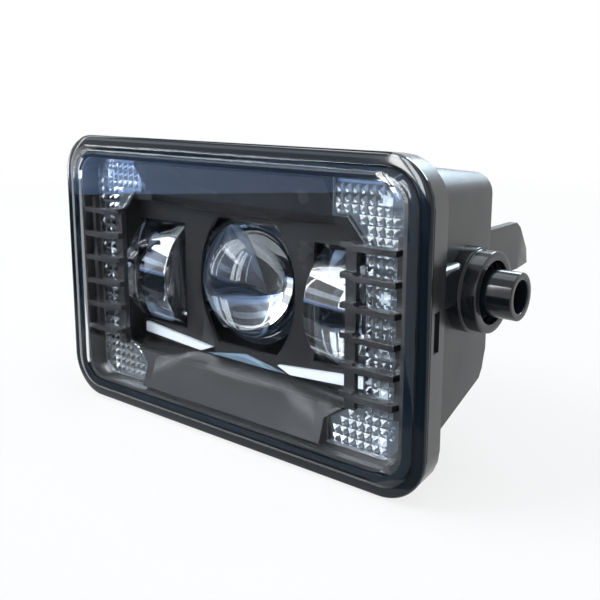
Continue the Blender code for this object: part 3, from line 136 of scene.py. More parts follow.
# ---- Settings a user would change ----
class CoverSizes(bpy.types.PropertyGroup):
    corner: FloatProperty(
        name="Corner radius", description="Round corner of the cover's rim", default=14 * mm,
        subtype="DISTANCE"
    )
    wall: FloatProperty(
        name="Wall", description="Thickness of the clear face", default=2.3 * mm, subtype="DISTANCE"
    )
    rise: FloatProperty(
        name="Rise", description="How far the face stands in front of the rim", default=2.3 * mm,
        subtype="DISTANCE"
    )
    corner_steps: IntProperty(
        name="Corner steps", description="Facets in each round corner", default=20, min=6, max=64
    )


class PivotSizes(bpy.types.PropertyGroup):
    pin: FloatProperty(name="Pin", description="Radius of the pin", default=6.65 * mm, subtype="DISTANCE")
    bore: FloatProperty(
        name="Bore", description="Radius of the pin's bore", default=4.6 * mm, subtype="DISTANCE"
    )
    collar: FloatProperty(
        name="Collar", description="Radius of the collar that the pin turns in", default=11.35 * mm,
        subtype="DISTANCE"
    )
    root: FloatProperty(
        name="Collar root", description="Radius of the collar's wider root", default=12.0 * mm,
        subtype="DISTANCE"
    )
    recess: FloatProperty(
        name="Recess", description="Radius of the recess in the collar's face", default=8.95 * mm,
        subtype="DISTANCE"
    )
    web: FloatProperty(
        name="Web edge", description="Radius of the long edges of the web that carries the collar",
        default=2.4 * mm,
        subtype="DISTANCE"
    )
    soft: FloatProperty(
        name="Soft edge", description="Width of the small round edges", default=0.35 * mm, subtype="DISTANCE"
    )


class LampColours(bpy.types.PropertyGroup):
    housing: FloatVectorProperty(
        name="Housing", description="Moulded housing", subtype="COLOR", default=(0.020, 0.020, 0.021),
        min=0, max=1
    )
    gloss: FloatVectorProperty(
        name="Gloss black", description="Pins, collars, webs and holders", subtype="COLOR",
        default=(0.008, 0.010, 0.013),
        min=0, max=1
    )
    trim: FloatVectorProperty(
        name="Trim", description="Inner trim behind the cover", subtype="COLOR",
        default=(0.014, 0.014, 0.0145),
        min=0, max=1
    )
    rib: FloatVectorProperty(
        name="Rib", description="Bars over the light guides", subtype="COLOR", default=(0.018, 0.018, 0.019),
        min=0, max=1
    )
    rim: FloatVectorProperty(
        name="Cover rim", description="Dark rim round the clear cover", subtype="COLOR",
        default=(0.006, 0.011, 0.017), min=0, max=1
    )
    bright: FloatVectorProperty(
        name="Bright accent", description="Strips under the centre lens", subtype="COLOR",
        default=(0.70, 0.72, 0.76), min=0, max=1
    )
    facet: FloatVectorProperty(
        name="Facet accent", description="Triangle under the centre lens", subtype="COLOR",
        default=(0.12, 0.17, 0.22), min=0, max=1
    )


class StageSettings(bpy.types.PropertyGroup):
    lens: FloatProperty(
        name="Lens", description="Focal length in millimetres", default=48.96, min=10, max=200
    )
    key: FloatProperty(name="Key light", description="Power of the main lamp", default=5.0, unit="POWER")
    top: FloatProperty(name="Top light", description="Power of the overhead lamp", default=3.2, unit="POWER")
    strips: FloatProperty(
        name="Strip lights", description="Brightness of the strips that only reflections show",
        default=10.0, min=0,
        max=50
    )
    sky: FloatProperty(
        name="Sky strip", description="Brightness of the low blue strip", default=1.5, min=0, max=50
    )
    fill: FloatProperty(name="Fill", description="Brightness of the world", default=0.6, min=0, max=2)


# ---- Node helpers ----
def new_material(name):
    """A material with only an output, and its node tree."""
    material = bpy.data.materials.new(f"{name}_finish")
    material.use_nodes = True
    material.node_tree.nodes.clear()
    return material, material.node_tree


def add_node(tree, kind, **values):
    """Adds a node, with plain values for the inputs that are named with underscores."""
    node = tree.nodes.new(kind)
    for name, value in values.items():
        node.inputs[name.replace("_", " ")].default_value = value
    return node


def grain_group():
    """Fine moulded grain: a height, and a roughness that changes softly over the surface."""
    found = bpy.data.node_groups.get("moulded_grain")
    if found:
        return found
    group = bpy.data.node_groups.new("moulded_grain", "ShaderNodeTree")
    scale = group.interface.new_socket("Scale", in_out="INPUT", socket_type="NodeSocketFloat")
    scale.default_value = 2500.0
    low = group.interface.new_socket("Smoothest", in_out="INPUT", socket_type="NodeSocketFloat")
    low.default_value = 0.3
    high = group.interface.new_socket("Roughest", in_out="INPUT", socket_type="NodeSocketFloat")
    high.default_value = 0.45
    group.interface.new_socket("Height", in_out="OUTPUT", socket_type="NodeSocketFloat")
    group.interface.new_socket("Roughness", in_out="OUTPUT", socket_type="NodeSocketFloat")
    enter = group.nodes.new("NodeGroupInput")
    leave = group.nodes.new("NodeGroupOutput")
    place = group.nodes.new("ShaderNodeTexCoord")
    fine = add_node(group, "ShaderNodeTexNoise", Detail=3.0, Roughness=0.6)
    broad = add_node(group, "ShaderNodeTexNoise", Scale=60.0, Detail=3.0, Roughness=0.55)
    spread = group.nodes.new("ShaderNodeMapRange")
    group.links.new(place.outputs["Object"], fine.inputs["Vector"])
    group.links.new(place.outputs["Object"], broad.inputs["Vector"])
    group.links.new(enter.outputs["Scale"], fine.inputs["Scale"])
    group.links.new(broad.outputs["Fac"], spread.inputs["Value"])
    spread.inputs["From Min"].default_value = 0.3
    spread.inputs["From Max"].default_value = 0.7
    group.links.new(enter.outputs["Smoothest"], spread.inputs["To Min"])
    group.links.new(enter.outputs["Roughest"], spread.inputs["To Max"])
    group.links.new(fine.outputs["Fac"], leave.inputs["Height"])
    group.links.new(spread.outputs["Result"], leave.inputs["Roughness"])
    return group


def dust_group():
    """Two near colours mixed in soft patches, as on a moulding that isn't quite even."""
    found = bpy.data.node_groups.get("uneven_colour")
    if found:
        return found
    group = bpy.data.node_groups.new("uneven_colour", "ShaderNodeTree")
    group.interface.new_socket("Colour", in_out="INPUT", socket_type="NodeSocketColor")
    share = group.interface.new_socket("Change", in_out="INPUT", socket_type="NodeSocketFloat")
    share.default_value = 0.15
    group.interface.new_socket("Colour", in_out="OUTPUT", socket_type="NodeSocketColor")
    enter = group.nodes.new("NodeGroupInput")
    leave = group.nodes.new("NodeGroupOutput")
    place = group.nodes.new("ShaderNodeTexCoord")
    cloud = add_node(group, "ShaderNodeTexNoise", Scale=45.0, Detail=4.0, Roughness=0.6)
    value = group.nodes.new("ShaderNodeMath")
    value.operation = "MULTIPLY_ADD"
    lift = group.nodes.new("ShaderNodeMath")
    lift.operation = "SUBTRACT"
    lift.inputs[1].default_value = 0.5
    shade = group.nodes.new("ShaderNodeHueSaturation")
    group.links.new(place.outputs["Object"], cloud.inputs["Vector"])
    group.links.new(cloud.outputs["Fac"], lift.inputs[0])
    group.links.new(lift.outputs["Value"], value.inputs[0])
    group.links.new(enter.outputs["Change"], value.inputs[1])
    value.inputs[2].default_value = 1.0
    group.links.new(value.outputs["Value"], shade.inputs["Value"])
    group.links.new(enter.outputs["Colour"], shade.inputs["Color"])
    group.links.new(shade.outputs["Color"], leave.inputs["Colour"])
    return group


def moulded(name, colour, smoothest, roughest, grain=2500.0, bump=0.02, metallic=0.0, coat=0.0, change=0.15,
            shine=0.5):
    """A moulded or painted finish: uneven colour, soft roughness patches and fine grain."""
    material, tree = new_material(name)
    shader = add_node(tree, "ShaderNodeBsdfPrincipled", Metallic=metallic, Coat_Weight=coat,
                      Coat_Roughness=0.05,
                      Specular_IOR_Level=shine)
    output = tree.nodes.new("ShaderNodeOutputMaterial")
    grains = tree.nodes.new("ShaderNodeGroup")
    grains.node_tree = grain_group()
    grains.inputs["Scale"].default_value = grain
    grains.inputs["Smoothest"].default_value = smoothest
    grains.inputs["Roughest"].default_value = roughest
    tint = tree.nodes.new("ShaderNodeGroup")
    tint.node_tree = dust_group()
    tint.inputs["Colour"].default_value = (*colour, 1.0)
    tint.inputs["Change"].default_value = change
    relief = add_node(tree, "ShaderNodeBump", Strength=bump, Distance=0.1 * mm)
    tree.links.new(tint.outputs["Colour"], shader.inputs["Base Color"])
    tree.links.new(grains.outputs["Roughness"], shader.inputs["Roughness"])
    tree.links.new(grains.outputs["Height"], relief.inputs["Height"])
    tree.links.new(relief.outputs["Normal"], shader.inputs["Normal"])
    tree.links.new(shader.outputs["BSDF"], output.inputs["Surface"])
    return material


def step_mask(tree, value, start, end):
    """1 past the end value and 0 before the start value, with a soft change between them."""
    ramp = add_node(tree, "ShaderNodeMapRange", From_Min=start, From_Max=end)
    ramp.interpolation_type = "SMOOTHSTEP"
    tree.links.new(value, ramp.inputs["Value"])
    return ramp.outputs["Result"]


def blend_colours(tree, mask, first, second):
    """The first colour or link where the mask is 0 and the second where it is 1."""
    mix = tree.nodes.new("ShaderNodeMix")
    mix.data_type = "RGBA"
    tree.links.new(mask, mix.inputs["Factor"])
    for socket, colour in ((mix.inputs[6], first), (mix.inputs[7], second)):
        if isinstance(colour, bpy.types.NodeSocket):
            tree.links.new(colour, socket)
        else:
            socket.default_value = (*colour, 1.0)
    return mix.outputs[2]


def shader_of(material):
    return next(node for node in material.node_tree.nodes if node.type == "BSDF_PRINCIPLED")


def polish_housing(material):
    """Makes the housing's front band glossier than the grained box."""
    tree = material.node_tree
    shader = shader_of(material)
    place = tree.nodes.new("ShaderNodeTexCoord")
    axes = tree.nodes.new("ShaderNodeSeparateXYZ")
    tree.links.new(place.outputs["Object"], axes.inputs["Vector"])
    band = step_mask(tree, axes.outputs["Y"], BAND_BACK_Y + 0.8 * mm, BAND_BACK_Y - 1.2 * mm)
    roughness = shader.inputs["Roughness"].links[0].from_socket
    shine = tree.nodes.new("ShaderNodeMix")
    tree.links.new(band, shine.inputs["Factor"])
    tree.links.new(roughness, shine.inputs[2])
    shine.inputs[3].default_value = 0.22
    tree.links.new(shine.outputs[0], shader.inputs["Roughness"])
    return material


def paint_reflection_bands(material, across, pale):
    """Paints reflection bands on a reflector: noise bands in its base colour, from dark to a pale colour,
    finest in the direction of the largest scale.
    """
    tree = material.node_tree
    shader = shader_of(material)
    place = tree.nodes.new("ShaderNodeTexCoord")
    stretch = add_node(tree, "ShaderNodeMapping", Scale=across)
    painted_bands = add_node(tree, "ShaderNodeTexNoise", Scale=1.0, Detail=5.0, Roughness=0.6)
    tree.links.new(place.outputs["Object"], stretch.inputs["Vector"])
    tree.links.new(stretch.outputs["Vector"], painted_bands.inputs["Vector"])
    mask = step_mask(tree, painted_bands.outputs["Fac"], 0.44, 0.56)
    # painted reflection: the dark and pale bands stand in for streaks of reflected light, not a real pattern
    # on the reflector
    tone = blend_colours(tree, mask, (0.03, 0.035, 0.045), pale)
    tree.links.new(tone, shader.inputs["Base Color"])
    return material


def light_chips(material):
    """Leaves the light guides' boards dark and makes only their raised chips bright."""
    tree = material.node_tree
    shader = shader_of(material)
    place = tree.nodes.new("ShaderNodeTexCoord")
    axes = tree.nodes.new("ShaderNodeSeparateXYZ")
    tree.links.new(place.outputs["Object"], axes.inputs["Vector"])
    front = step_mask(tree, axes.outputs["Y"], CHIP_FRONT_Y + 0.05 * mm, CHIP_FRONT_Y - 0.05 * mm)
    colour = shader.inputs["Base Color"].links[0].from_socket
    tone = blend_colours(tree, front, (0.05, 0.055, 0.06), colour)
    tree.links.new(tone, shader.inputs["Base Color"])
    return material


def clear(name, colour, ior, ripple=0.0, coat=0.0, coat_ior=1.5):
    """Clear moulded plastic that lets the lamps through to what lies behind it."""
    material, tree = new_material(name)
    shader = add_node(tree, "ShaderNodeBsdfPrincipled", Roughness=0.015, IOR=ior, Transmission_Weight=1.0,
                      Coat_Weight=coat, Coat_IOR=coat_ior, Coat_Roughness=0.03)
    shader.inputs["Base Color"].default_value = (*colour, 1.0)
    pass_through = tree.nodes.new("ShaderNodeBsdfTransparent")
    pass_through.inputs["Color"].default_value = (*colour, 1.0)
    path = tree.nodes.new("ShaderNodeLightPath")
    mix = tree.nodes.new("ShaderNodeMixShader")
    output = tree.nodes.new("ShaderNodeOutputMaterial")
    tree.links.new(path.outputs["Is Shadow Ray"], mix.inputs[0])
    tree.links.new(shader.outputs["BSDF"], mix.inputs[1])
    tree.links.new(pass_through.outputs["BSDF"], mix.inputs[2])
    tree.links.new(mix.outputs["Shader"], output.inputs["Surface"])
    if ripple:
        place = tree.nodes.new("ShaderNodeTexCoord")
        wave = add_node(tree, "ShaderNodeTexNoise", Scale=120.0, Detail=2.0, Roughness=0.5)
        relief = add_node(tree, "ShaderNodeBump", Strength=ripple, Distance=0.2 * mm)
        tree.links.new(place.outputs["Object"], wave.inputs["Vector"])
        tree.links.new(wave.outputs["Fac"], relief.inputs["Height"])
        tree.links.new(relief.outputs["Normal"], shader.inputs["Normal"])
    return material


def make_finishes(colours):
    """One material for each of the record's material slots, and a few for parts of a slot."""
    finishes = {
        "rib": moulded("rib", colours.rib, 0.16, 0.24, 1500.0, 0.01),
        "cover_rim": moulded("cover_rim", colours.rim, 0.06, 0.10, 900.0, 0.005, shine=0.3),
        "clear_cover": clear("clear_cover", (0.94, 0.96, 0.98), 1.33, 0.01),
        "clear_optic": clear("clear_optic", (0.92, 0.95, 0.98), 1.5, 0.02),
        "coated_optic": clear("coated_optic", (0.90, 0.94, 0.98), 1.5, 0.02, 1.0, 1.95),
        "prism_optic": clear("prism_optic", (0.74, 0.78, 0.82), 1.5, 0.0, 1.0, 1.6),
        "moulded_grey": moulded("moulded_grey", colours.housing, 0.3, 0.4, 3000.0, 0.03),
        "gloss_black": moulded("gloss_black", colours.gloss, 0.10, 0.18, 900.0, 0.01, shine=0.4),
        "trim_black": moulded("trim_black", colours.trim, 0.2, 0.28, 1500.0, 0.004, shine=0.15),
        "bright_trim": moulded("bright_trim", colours.bright, 0.18, 0.28, 1500.0, 0.02, metallic=0.35),
        "blue_grey_trim": moulded("blue_grey_trim", colours.facet, 0.2, 0.3, 1500.0, 0.02, metallic=0.4),
        "mirror": moulded("mirror", (0.50, 0.51, 0.53), 0.12, 0.2, 1500.0, 0.01, metallic=0.5),
        "upright_mirror": moulded("upright_mirror", colours.bright, 0.12, 0.2, 1500.0, 0.01, metallic=0.2),
        "seal_rubber": moulded("seal_rubber", (0.012, 0.012, 0.012), 0.7, 0.85, 1500.0, 0.1),
        "cast_aluminium": moulded(
            "cast_aluminium", (0.03, 0.03, 0.032), 0.4, 0.55, 1200.0, 0.1, metallic=0.6
        ),
        "circuit_board": moulded("circuit_board", (0.80, 0.82, 0.82), 0.35, 0.5, 1500.0, 0.03),
        "driver_green": moulded("driver_green", (0.015, 0.10, 0.045), 0.35, 0.5, 1500.0, 0.03),
        "screw_steel": moulded("screw_steel", (0.55, 0.55, 0.57), 0.25, 0.35, 1500.0, 0.03, metallic=1.0),
        "terminal_brass": moulded(
            "terminal_brass", (0.70, 0.52, 0.22), 0.25, 0.35, 1500.0, 0.03, metallic=1.0
        ),
    }
    polish_housing(finishes["moulded_grey"])
    light_chips(finishes["circuit_board"])
    # Painted reflection on the side reflectors: horizontal dark and pale bluish-white bands in the base
    # colour
    paint_reflection_bands(finishes["mirror"], (6.0, 40.0, 170.0), (0.80, 0.87, 1.0))
    # Painted reflection on the centre reflector: upright dark and pale blue bands in the base colour
    paint_reflection_bands(finishes["upright_mirror"], (520.0, 60.0, 12.0), (0.20, 0.25, 0.33))
    return finishes


def slot_of(node):
    """The record's material slot of a CAD node."""
    for entry in frame["record"]["subparts"]:
        if entry["node"] == node:
            return entry["material_slot"]
    raise ValueError(f"the record has no sub-part {node}")


# ---- Mesh helpers ----
def rounded_ring(half_width, half_height, radius, steps):
    """The (x, z) points of a rounded rectangle about the face's middle."""
    outline = []
    for number, (x, z) in enumerate(((1, -1), (1, 1), (-1, 1), (-1, -1))):
        start = (number - 1) * math.pi / 2
        for step in range(steps + 1):
            angle = start + step * math.pi / 2 / steps
            outline.append(
                (
                    x * (half_width - radius) + radius * math.cos(angle),
                    z * (half_height - radius) + radius * math.sin(angle),
                )
            )
    return outline


def loft(rings):
    """A closed mesh through outlines of (x, z) points, each at its depth behind the rim.

    The third item of a ring is the material number of the faces that lead to it.
    """
    mesh = bmesh.new()
    outline, depth, number = rings[0]
    ring = [mesh.verts.new(FACE_ORIGIN + Vector((x, depth, z))) for x, z in outline]
    mesh.faces.new(ring)
    for outline, depth, number in rings[1:]:
        edges = [mesh.edges.get(pair) for pair in zip(ring, ring[1:] + ring[:1])]
        made = bmesh.ops.extrude_edge_only(mesh, edges=edges)["geom"]
        twins = {tuple(item.co): item for item in made if isinstance(item, bmesh.types.BMVert)}
        ring = [twins[tuple(vertex.co)] for vertex in ring]
        for vertex, (x, z) in zip(ring, outline):
            vertex.co = FACE_ORIGIN + Vector((x, depth, z))
        for item in made:
            if isinstance(item, bmesh.types.BMFace):
                item.material_index = number
    mesh.faces.new(ring)
    return mesh


def finish_piece(name, mesh, body, material_slot, replaced=(), sharp=30.0, second_slot=None):
    """Makes a bmesh the piece that stands for the CAD nodes it replaces, if it replaces any."""
    if not mesh.faces:
        raise RuntimeError(f"{name} has no faces")
    bmesh.ops.recalc_face_normals(mesh, faces=mesh.faces)
    if mesh.calc_volume(signed=True) < 0:
        bmesh.ops.reverse_faces(mesh, faces=mesh.faces)
    data = bpy.data.meshes.new(name)
    mesh.to_mesh(data)
    mesh.free()
    data.shade_smooth()
    data.set_sharp_from_angle(angle=math.radians(sharp))
    data.materials.append(bpy.data.materials[f"{material_slot}_finish"])
    if second_slot:
        data.materials.append(bpy.data.materials[f"{second_slot}_finish"])
    piece = bpy.data.objects.new(name, data)
    bpy.context.scene.collection.objects.link(piece)
    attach(piece, body)
    if replaced:
        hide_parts(*replaced)
    return piece


def refined(node, body, sharp=30.0, bevel=0.0, reshape=None):
    """A smooth-shaded copy of a CAD node, with small round edges where a bevel is given."""
    mesh = bmesh.new()
    mesh.from_mesh(frame["nodes"][node].data)
    bmesh.ops.remove_doubles(mesh, verts=mesh.verts, dist=WELD)
    bmesh.ops.dissolve_limit(mesh, angle_limit=math.radians(1), verts=mesh.verts, edges=mesh.edges)
    if reshape:
        reshape(mesh)
    piece = finish_piece(f"{node}_shape", mesh, body, slot_of(node), [node], sharp)
    if not bevel:
        normals = piece.modifiers.new("normals", "WEIGHTED_NORMAL")
        normals.keep_sharp = True
    else:
        edges = piece.modifiers.new("edges", "BEVEL")
        edges.width = bevel
        edges.segments = 2
        edges.limit_method = "ANGLE"
        edges.angle_limit = math.radians(40)
        edges.harden_normals = True
    return piece


# ---- Operators ----
class FOGLAMP_OT_finishes(bpy.types.Operator):
    """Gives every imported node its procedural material"""

    bl_idname = "foglamp.finishes"
    bl_label = "Finishes"

    def execute(self, context):
        materials = make_finishes(context.scene.lamp_colours)
        for node, piece in frame["nodes"].items():
            finish = "prism_optic" if node.startswith("light_guide") else slot_of(node)
            for place in piece.material_slots:
                place.material = materials[finish]
        return {"FINISHED"}


class FOGLAMP_OT_cover(bpy.types.Operator):
    """Builds the clear cover with its raised face, stepped rim and tongue"""

    bl_idname = "foglamp.cover"
    bl_label = "Cover"

    def execute(self, context):
        sizes = context.scene.cover_sizes

        def ring(side, top, depth, number=0):
            radius = max(sizes.corner - top, 3 * mm)
            outline = rounded_ring(HALF_WIDTH - side, HALF_HEIGHT - top, radius, sizes.corner_steps)
            return outline, depth, number

        wall = sizes.wall
        rings = [
            ring(10.4 * mm, 8.0 * mm, -sizes.rise),
            ring(8.6 * mm, 6.2 * mm, -sizes.rise),
            ring(7.4 * mm, 5.0 * mm, -sizes.rise + 0.05 * mm),
            ring(6.6 * mm, 4.5 * mm, -sizes.rise + 0.35 * mm),
            ring(3.8 * mm, 3.8 * mm, -0.8 * mm),
            ring(3.3 * mm, 3.3 * mm, -0.5 * mm),
            ring(3.1 * mm, 3.1 * mm, 0.0, 1),
            ring(0.9 * mm, 0.9 * mm, 0.0, 1),
            ring(0.3 * mm, 0.3 * mm, 0.25 * mm, 1),
            ring(0.0, 0.0, 0.8 * mm, 1),
            ring(0.0, 0.0, 1.4 * mm, 1),
            ring(2.8 * mm, 2.8 * mm, 1.4 * mm, 1),
            ring(2.8 * mm, 2.8 * mm, 5.0 * mm, 1),
            ring(4.6 * mm, 4.6 * mm, 5.0 * mm, 1),
            ring(4.6 * mm, 4.6 * mm, 1.4 * mm, 1),
            ring(7.4 * mm, 6.2 * mm, 1.2 * mm, 1),
            ring(9.7 * mm, 7.3 * mm, wall - sizes.rise),
            ring(11.0 * mm, 8.6 * mm, wall - sizes.rise),
        ]
        finish_piece("cover", loft(rings), LAMP, "clear_cover", ["outer_lens"], 28.0, "cover_rim")
        return {"FINISHED"}


def box_wall_x(depth):
    """Where the housing's drafted side stands, at a depth along y."""
    return BOX_HALF_WIDTH - (depth - BAND_BACK_Y) * math.tan(BOX_DRAFT)


def sink_webs(mesh):
    """Pushes the faces of the housing's flat webs back to its side; webs with round edges replace them."""
    for vertex in mesh.verts:
        flat = abs(abs(vertex.co.x) - FLAT_WEB_X) < 0.05 * mm
        level = abs(vertex.co.z - WEB_MIDDLE_Z) < WEB_HALF_HEIGHT + 0.1 * mm
        if flat and level and vertex.co.y < WEB_BACK_Y + 2 * mm:
            vertex.co.x = math.copysign(box_wall_x(vertex.co.y), vertex.co.x)


def turned_piece(name, profile, side, body, replaced=()):
    """A glossy piece spun about the pivot axis from its (x, radius) points, with small round edges."""
    soft = bpy.context.scene.pivot_sizes.soft
    mesh = bmesh.new()
    points = [mesh.verts.new((side * x, 0.0, radius)) for x, radius in profile]
    edges = [mesh.edges.new(pair) for pair in zip(points, points[1:] + points[:1])]
    bmesh.ops.spin(
        mesh, geom=points + edges, cent=(0, 0, 0), axis=(1, 0, 0), angle=2 * math.pi, steps=96, use_merge=True
    )
    bmesh.ops.remove_doubles(mesh, verts=mesh.verts, dist=WELD)
    bmesh.ops.recalc_face_normals(mesh, faces=mesh.faces)
    rims = [edge for edge in mesh.edges if abs(edge.calc_face_angle(0.0)) > math.radians(35)]
    bmesh.ops.bevel(
        mesh, geom=rims, offset=soft, offset_type="OFFSET", segments=3, profile=0.5, affect="EDGES",
        material=-1
    )
    return finish_piece(name, mesh, body, "gloss_black", replaced, 40.0)


def collar_sleeve(label, side):
    """A round sleeve over the housing's faceted collar."""
    sizes = bpy.context.scene.pivot_sizes
    root = sizes.root + SLEEVE_COVER
    outer = sizes.collar + SLEEVE_COVER
    recess = sizes.recess - SLEEVE_COVER
    middle = (recess + outer) / 2
    floor = COLLAR_FACE_X - COLLAR_RECESS_DEPTH
    profile = [
        (COLLAR_INNER_X, root), (COLLAR_ROOT_X, root), (COLLAR_ROOT_X, outer), (COLLAR_FACE_X, outer),
        (COLLAR_FACE_X, recess), (floor, recess), (floor, middle), (COLLAR_INNER_X, middle),
    ]
    return turned_piece(f"collar_{label}", profile, side, LAMP)


def collar_web(label, side):
    """A web from the band to the collar, with two round long edges."""
    low = Vector((WEB_INNER_X, WEB_FRONT_Y, WEB_MIDDLE_Z - WEB_HALF_HEIGHT))
    high = Vector((WEB_TOP_X, WEB_BACK_Y, WEB_MIDDLE_Z + WEB_HALF_HEIGHT))
    mesh = bmesh.new()
    bmesh.ops.create_cube(mesh, size=1.0)
    bmesh.ops.scale(mesh, verts=mesh.verts, vec=high - low)
    bmesh.ops.translate(mesh, verts=mesh.verts, vec=(low + high) / 2)
    long_edges = [
        edge for edge in mesh.edges
        if all(vertex.co.x > WEB_TOP_X - 0.1 * mm for vertex in edge.verts)
        and abs(edge.verts[0].co.z - edge.verts[1].co.z) < 0.1 * mm
    ]
    bmesh.ops.bevel(
        mesh, geom=long_edges, offset=bpy.context.scene.pivot_sizes.web, offset_type="OFFSET", segments=8,
        profile=0.5, affect="EDGES", material=-1
    )
    bmesh.ops.scale(mesh, verts=mesh.verts, vec=(side, 1, 1))
    return finish_piece(f"collar_web_{label}", mesh, LAMP, "gloss_black", (), 40.0)


class FOGLAMP_OT_housing(bpy.types.Operator):
    """Smooths the moulded housing and gives it round webs and collars"""

    bl_idname = "foglamp.housing"
    bl_label = "Housing"

    def execute(self, context):
        refined("housing", LAMP, 32.0, reshape=sink_webs)
        for label, side in SIDES:
            collar_sleeve(label, side)
            collar_web(label, side)
        return {"FINISHED"}


class FOGLAMP_OT_pins(bpy.types.Operator):
    """Builds the two hollow pivot pins"""

    bl_idname = "foglamp.pins"
    bl_label = "Pivot pins"

    def execute(self, context):
        sizes = context.scene.pivot_sizes
        for label, side in SIDES:
            low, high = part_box(f"pivot_bush_{label}")
            inner = min(abs(low.x), abs(high.x))
            outer = max(abs(low.x), abs(high.x))
            shoulder_end = SHOULDER_X + SHOULDER_WIDTH
            profile = [
                (inner, sizes.bore), (inner, sizes.pin), (SHOULDER_X, sizes.pin), (SHOULDER_X, high.z),
                (shoulder_end, high.z), (shoulder_end, sizes.pin), (outer, sizes.pin), (outer, sizes.bore),
            ]
            turned_piece(f"pivot_pin_{label}", profile, side, PINS, [f"pivot_bush_{label}"])
        return {"FINISHED"}


class FOGLAMP_OT_trim(bpy.types.Operator):
    """Smooths the inner trim and its ribs"""

    bl_idname = "foglamp.trim"
    bl_label = "Inner trim"

    def execute(self, context):
        refined("trim_bezel", LAMP, 30.0)
        for label, _ in SIDES:
            ribs = refined(f"rib_comb_{label}", LAMP, 30.0, RIB_EDGE)
            ribs.data.materials[0] = bpy.data.materials["rib_finish"]
        return {"FINISHED"}


def arched_profile(half, rise, seat, steps):
    """The (depth, height) points of a round arch in front of a seat, from its bottom to its top."""
    sphere = (half**2 + rise**2) / (2 * rise)
    spread = math.asin(half / sphere)
    centre = seat - rise + sphere
    angles = [-spread + 2 * spread * step / steps for step in range(steps + 1)]
    return [(centre - sphere * math.cos(angle), sphere * math.sin(angle)) for angle in angles]


def side_lens(label):
    """A half-barrel lens: one arch carried along its width, with a flange above and below."""
    low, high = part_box(f"side_lens_{label}")
    back = LENS_SEAT + LENS_FLANGE
    middle = (low.z + high.z) / 2 - FACE_ORIGIN.z
    half = (high.z - low.z) / 2 - LENS_LIP
    arch = arched_profile(half, SIDE_LENS_RISE, LENS_SEAT, 64)
    points = [(depth, middle + height) for depth, height in arch]
    points += [(LENS_SEAT, middle + half + LENS_LIP), (back, middle + half + LENS_LIP)]
    points += [(back, middle - half - LENS_LIP), (LENS_SEAT, middle - half - LENS_LIP)]
    mesh = bmesh.new()
    ring = [mesh.verts.new(FACE_ORIGIN + Vector((low.x, depth, z))) for depth, z in points]
    face = mesh.faces.new(ring)
    made = bmesh.ops.extrude_face_region(mesh, geom=[face])["geom"]
    moved = [item for item in made if isinstance(item, bmesh.types.BMVert)]
    bmesh.ops.translate(mesh, verts=moved, vec=(high.x - low.x, 0, 0))
    ends = [edge for edge in mesh.edges if len({round(vertex.co.x, 7) for vertex in edge.verts}) == 1]
    bmesh.ops.bevel(
        mesh, geom=ends, offset=SIDE_LENS_EDGE, offset_type="OFFSET", segments=2, profile=0.5, affect="EDGES",
        material=-1
    )
    lens = finish_piece(f"side_lens_{label}_shape", mesh, LAMP, "clear_optic", [f"side_lens_{label}"], 30.0)
    lens.data.materials[0] = bpy.data.materials["coated_optic_finish"]
    return lens


def centre_lens():
    """The domed lens: an arch spun about its middle, with a flange, cut flat above and below."""
    low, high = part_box("centre_lens")
    back = LENS_SEAT + LENS_FLANGE
    middle = CENTRE_LENS_HEIGHT + FACE_ORIGIN.z
    rim = CENTRE_LENS_RADIUS + LENS_LIP
    arch = arched_profile(CENTRE_LENS_RADIUS, CENTRE_LENS_RISE, LENS_SEAT, 96)
    profile = [point for point in arch if point[1] > -HAIR]
    profile += [(LENS_SEAT, rim), (back, rim), (back, 0.0)]
    mesh = bmesh.new()
    points = [mesh.verts.new((0.0, FACE_ORIGIN.y + depth, middle + abs(height))) for depth, height in profile]
    edges = [mesh.edges.new(pair) for pair in zip(points, points[1:])]
    bmesh.ops.spin(
        mesh, geom=points + edges, cent=(0, 0, middle), axis=(0, 1, 0), angle=2 * math.pi, steps=128,
        use_merge=True
    )
    bmesh.ops.remove_doubles(mesh, verts=mesh.verts, dist=WELD)
    for height, direction in ((low.z, -1), (high.z, 1)):
        cut = bmesh.ops.bisect_plane(
            mesh, geom=mesh.verts[:] + mesh.edges[:] + mesh.faces[:], plane_co=(0, 0, height),
            plane_no=(0, 0, direction), clear_outer=True,
        )["geom_cut"]
        rim_edges = [item for item in cut if isinstance(item, bmesh.types.BMEdge)]
        bmesh.ops.contextual_create(mesh, geom=rim_edges)
    return finish_piece("centre_lens_shape", mesh, LAMP, "clear_optic", ["centre_lens"], 30.0)


class FOGLAMP_OT_projectors(bpy.types.Operator):
    """Builds the three projector lenses and smooths the centre lens's holder and reflector"""

    bl_idname = "foglamp.projectors"
    bl_label = "Projectors"

    def execute(self, context):
        centre_lens()
        for label, _ in SIDES:
            side_lens(label)
        for node in ("centre_lens_holder", "centre_reflector"):
            refined(node, LAMP, 35.0)
        reflector = bpy.data.objects["centre_reflector_shape"]
        # the centre reflector takes the finish with painted reflection bands
        reflector.data.materials[0] = bpy.data.materials["upright_mirror_finish"]
        return {"FINISHED"}


class FOGLAMP_OT_rear(bpy.types.Operator):
    """Smooths the round pieces at the lamp's back"""

    bl_idname = "foglamp.rear"
    bl_label = "Rear pieces"

    def execute(self, context):
        screws = [f"heat_sink_screw_{number}" for number in range(1, 5)]
        for node in ["vent_cap", "connector_inlet"] + screws:
            refined(node, LAMP, 30.0)
        return {"FINISHED"}


def add_area_light(name, place, target, size, power, colour, reflected=False):
    """A rectangular lamp that the camera doesn't see, or one that only reflections show."""
    data = bpy.data.lights.new(name, "AREA")
    data.shape = "RECTANGLE"
    data.size, data.size_y = size
    data.energy = power
    data.color = colour
    light = bpy.data.objects.new(name, data)
    light.location = place
    light.rotation_euler = (Vector(target) - Vector(place)).to_track_quat("-Z", "Y").to_euler()
    light.visible_camera = False
    light.visible_diffuse = not reflected
    bpy.context.scene.collection.objects.link(light)
    return light


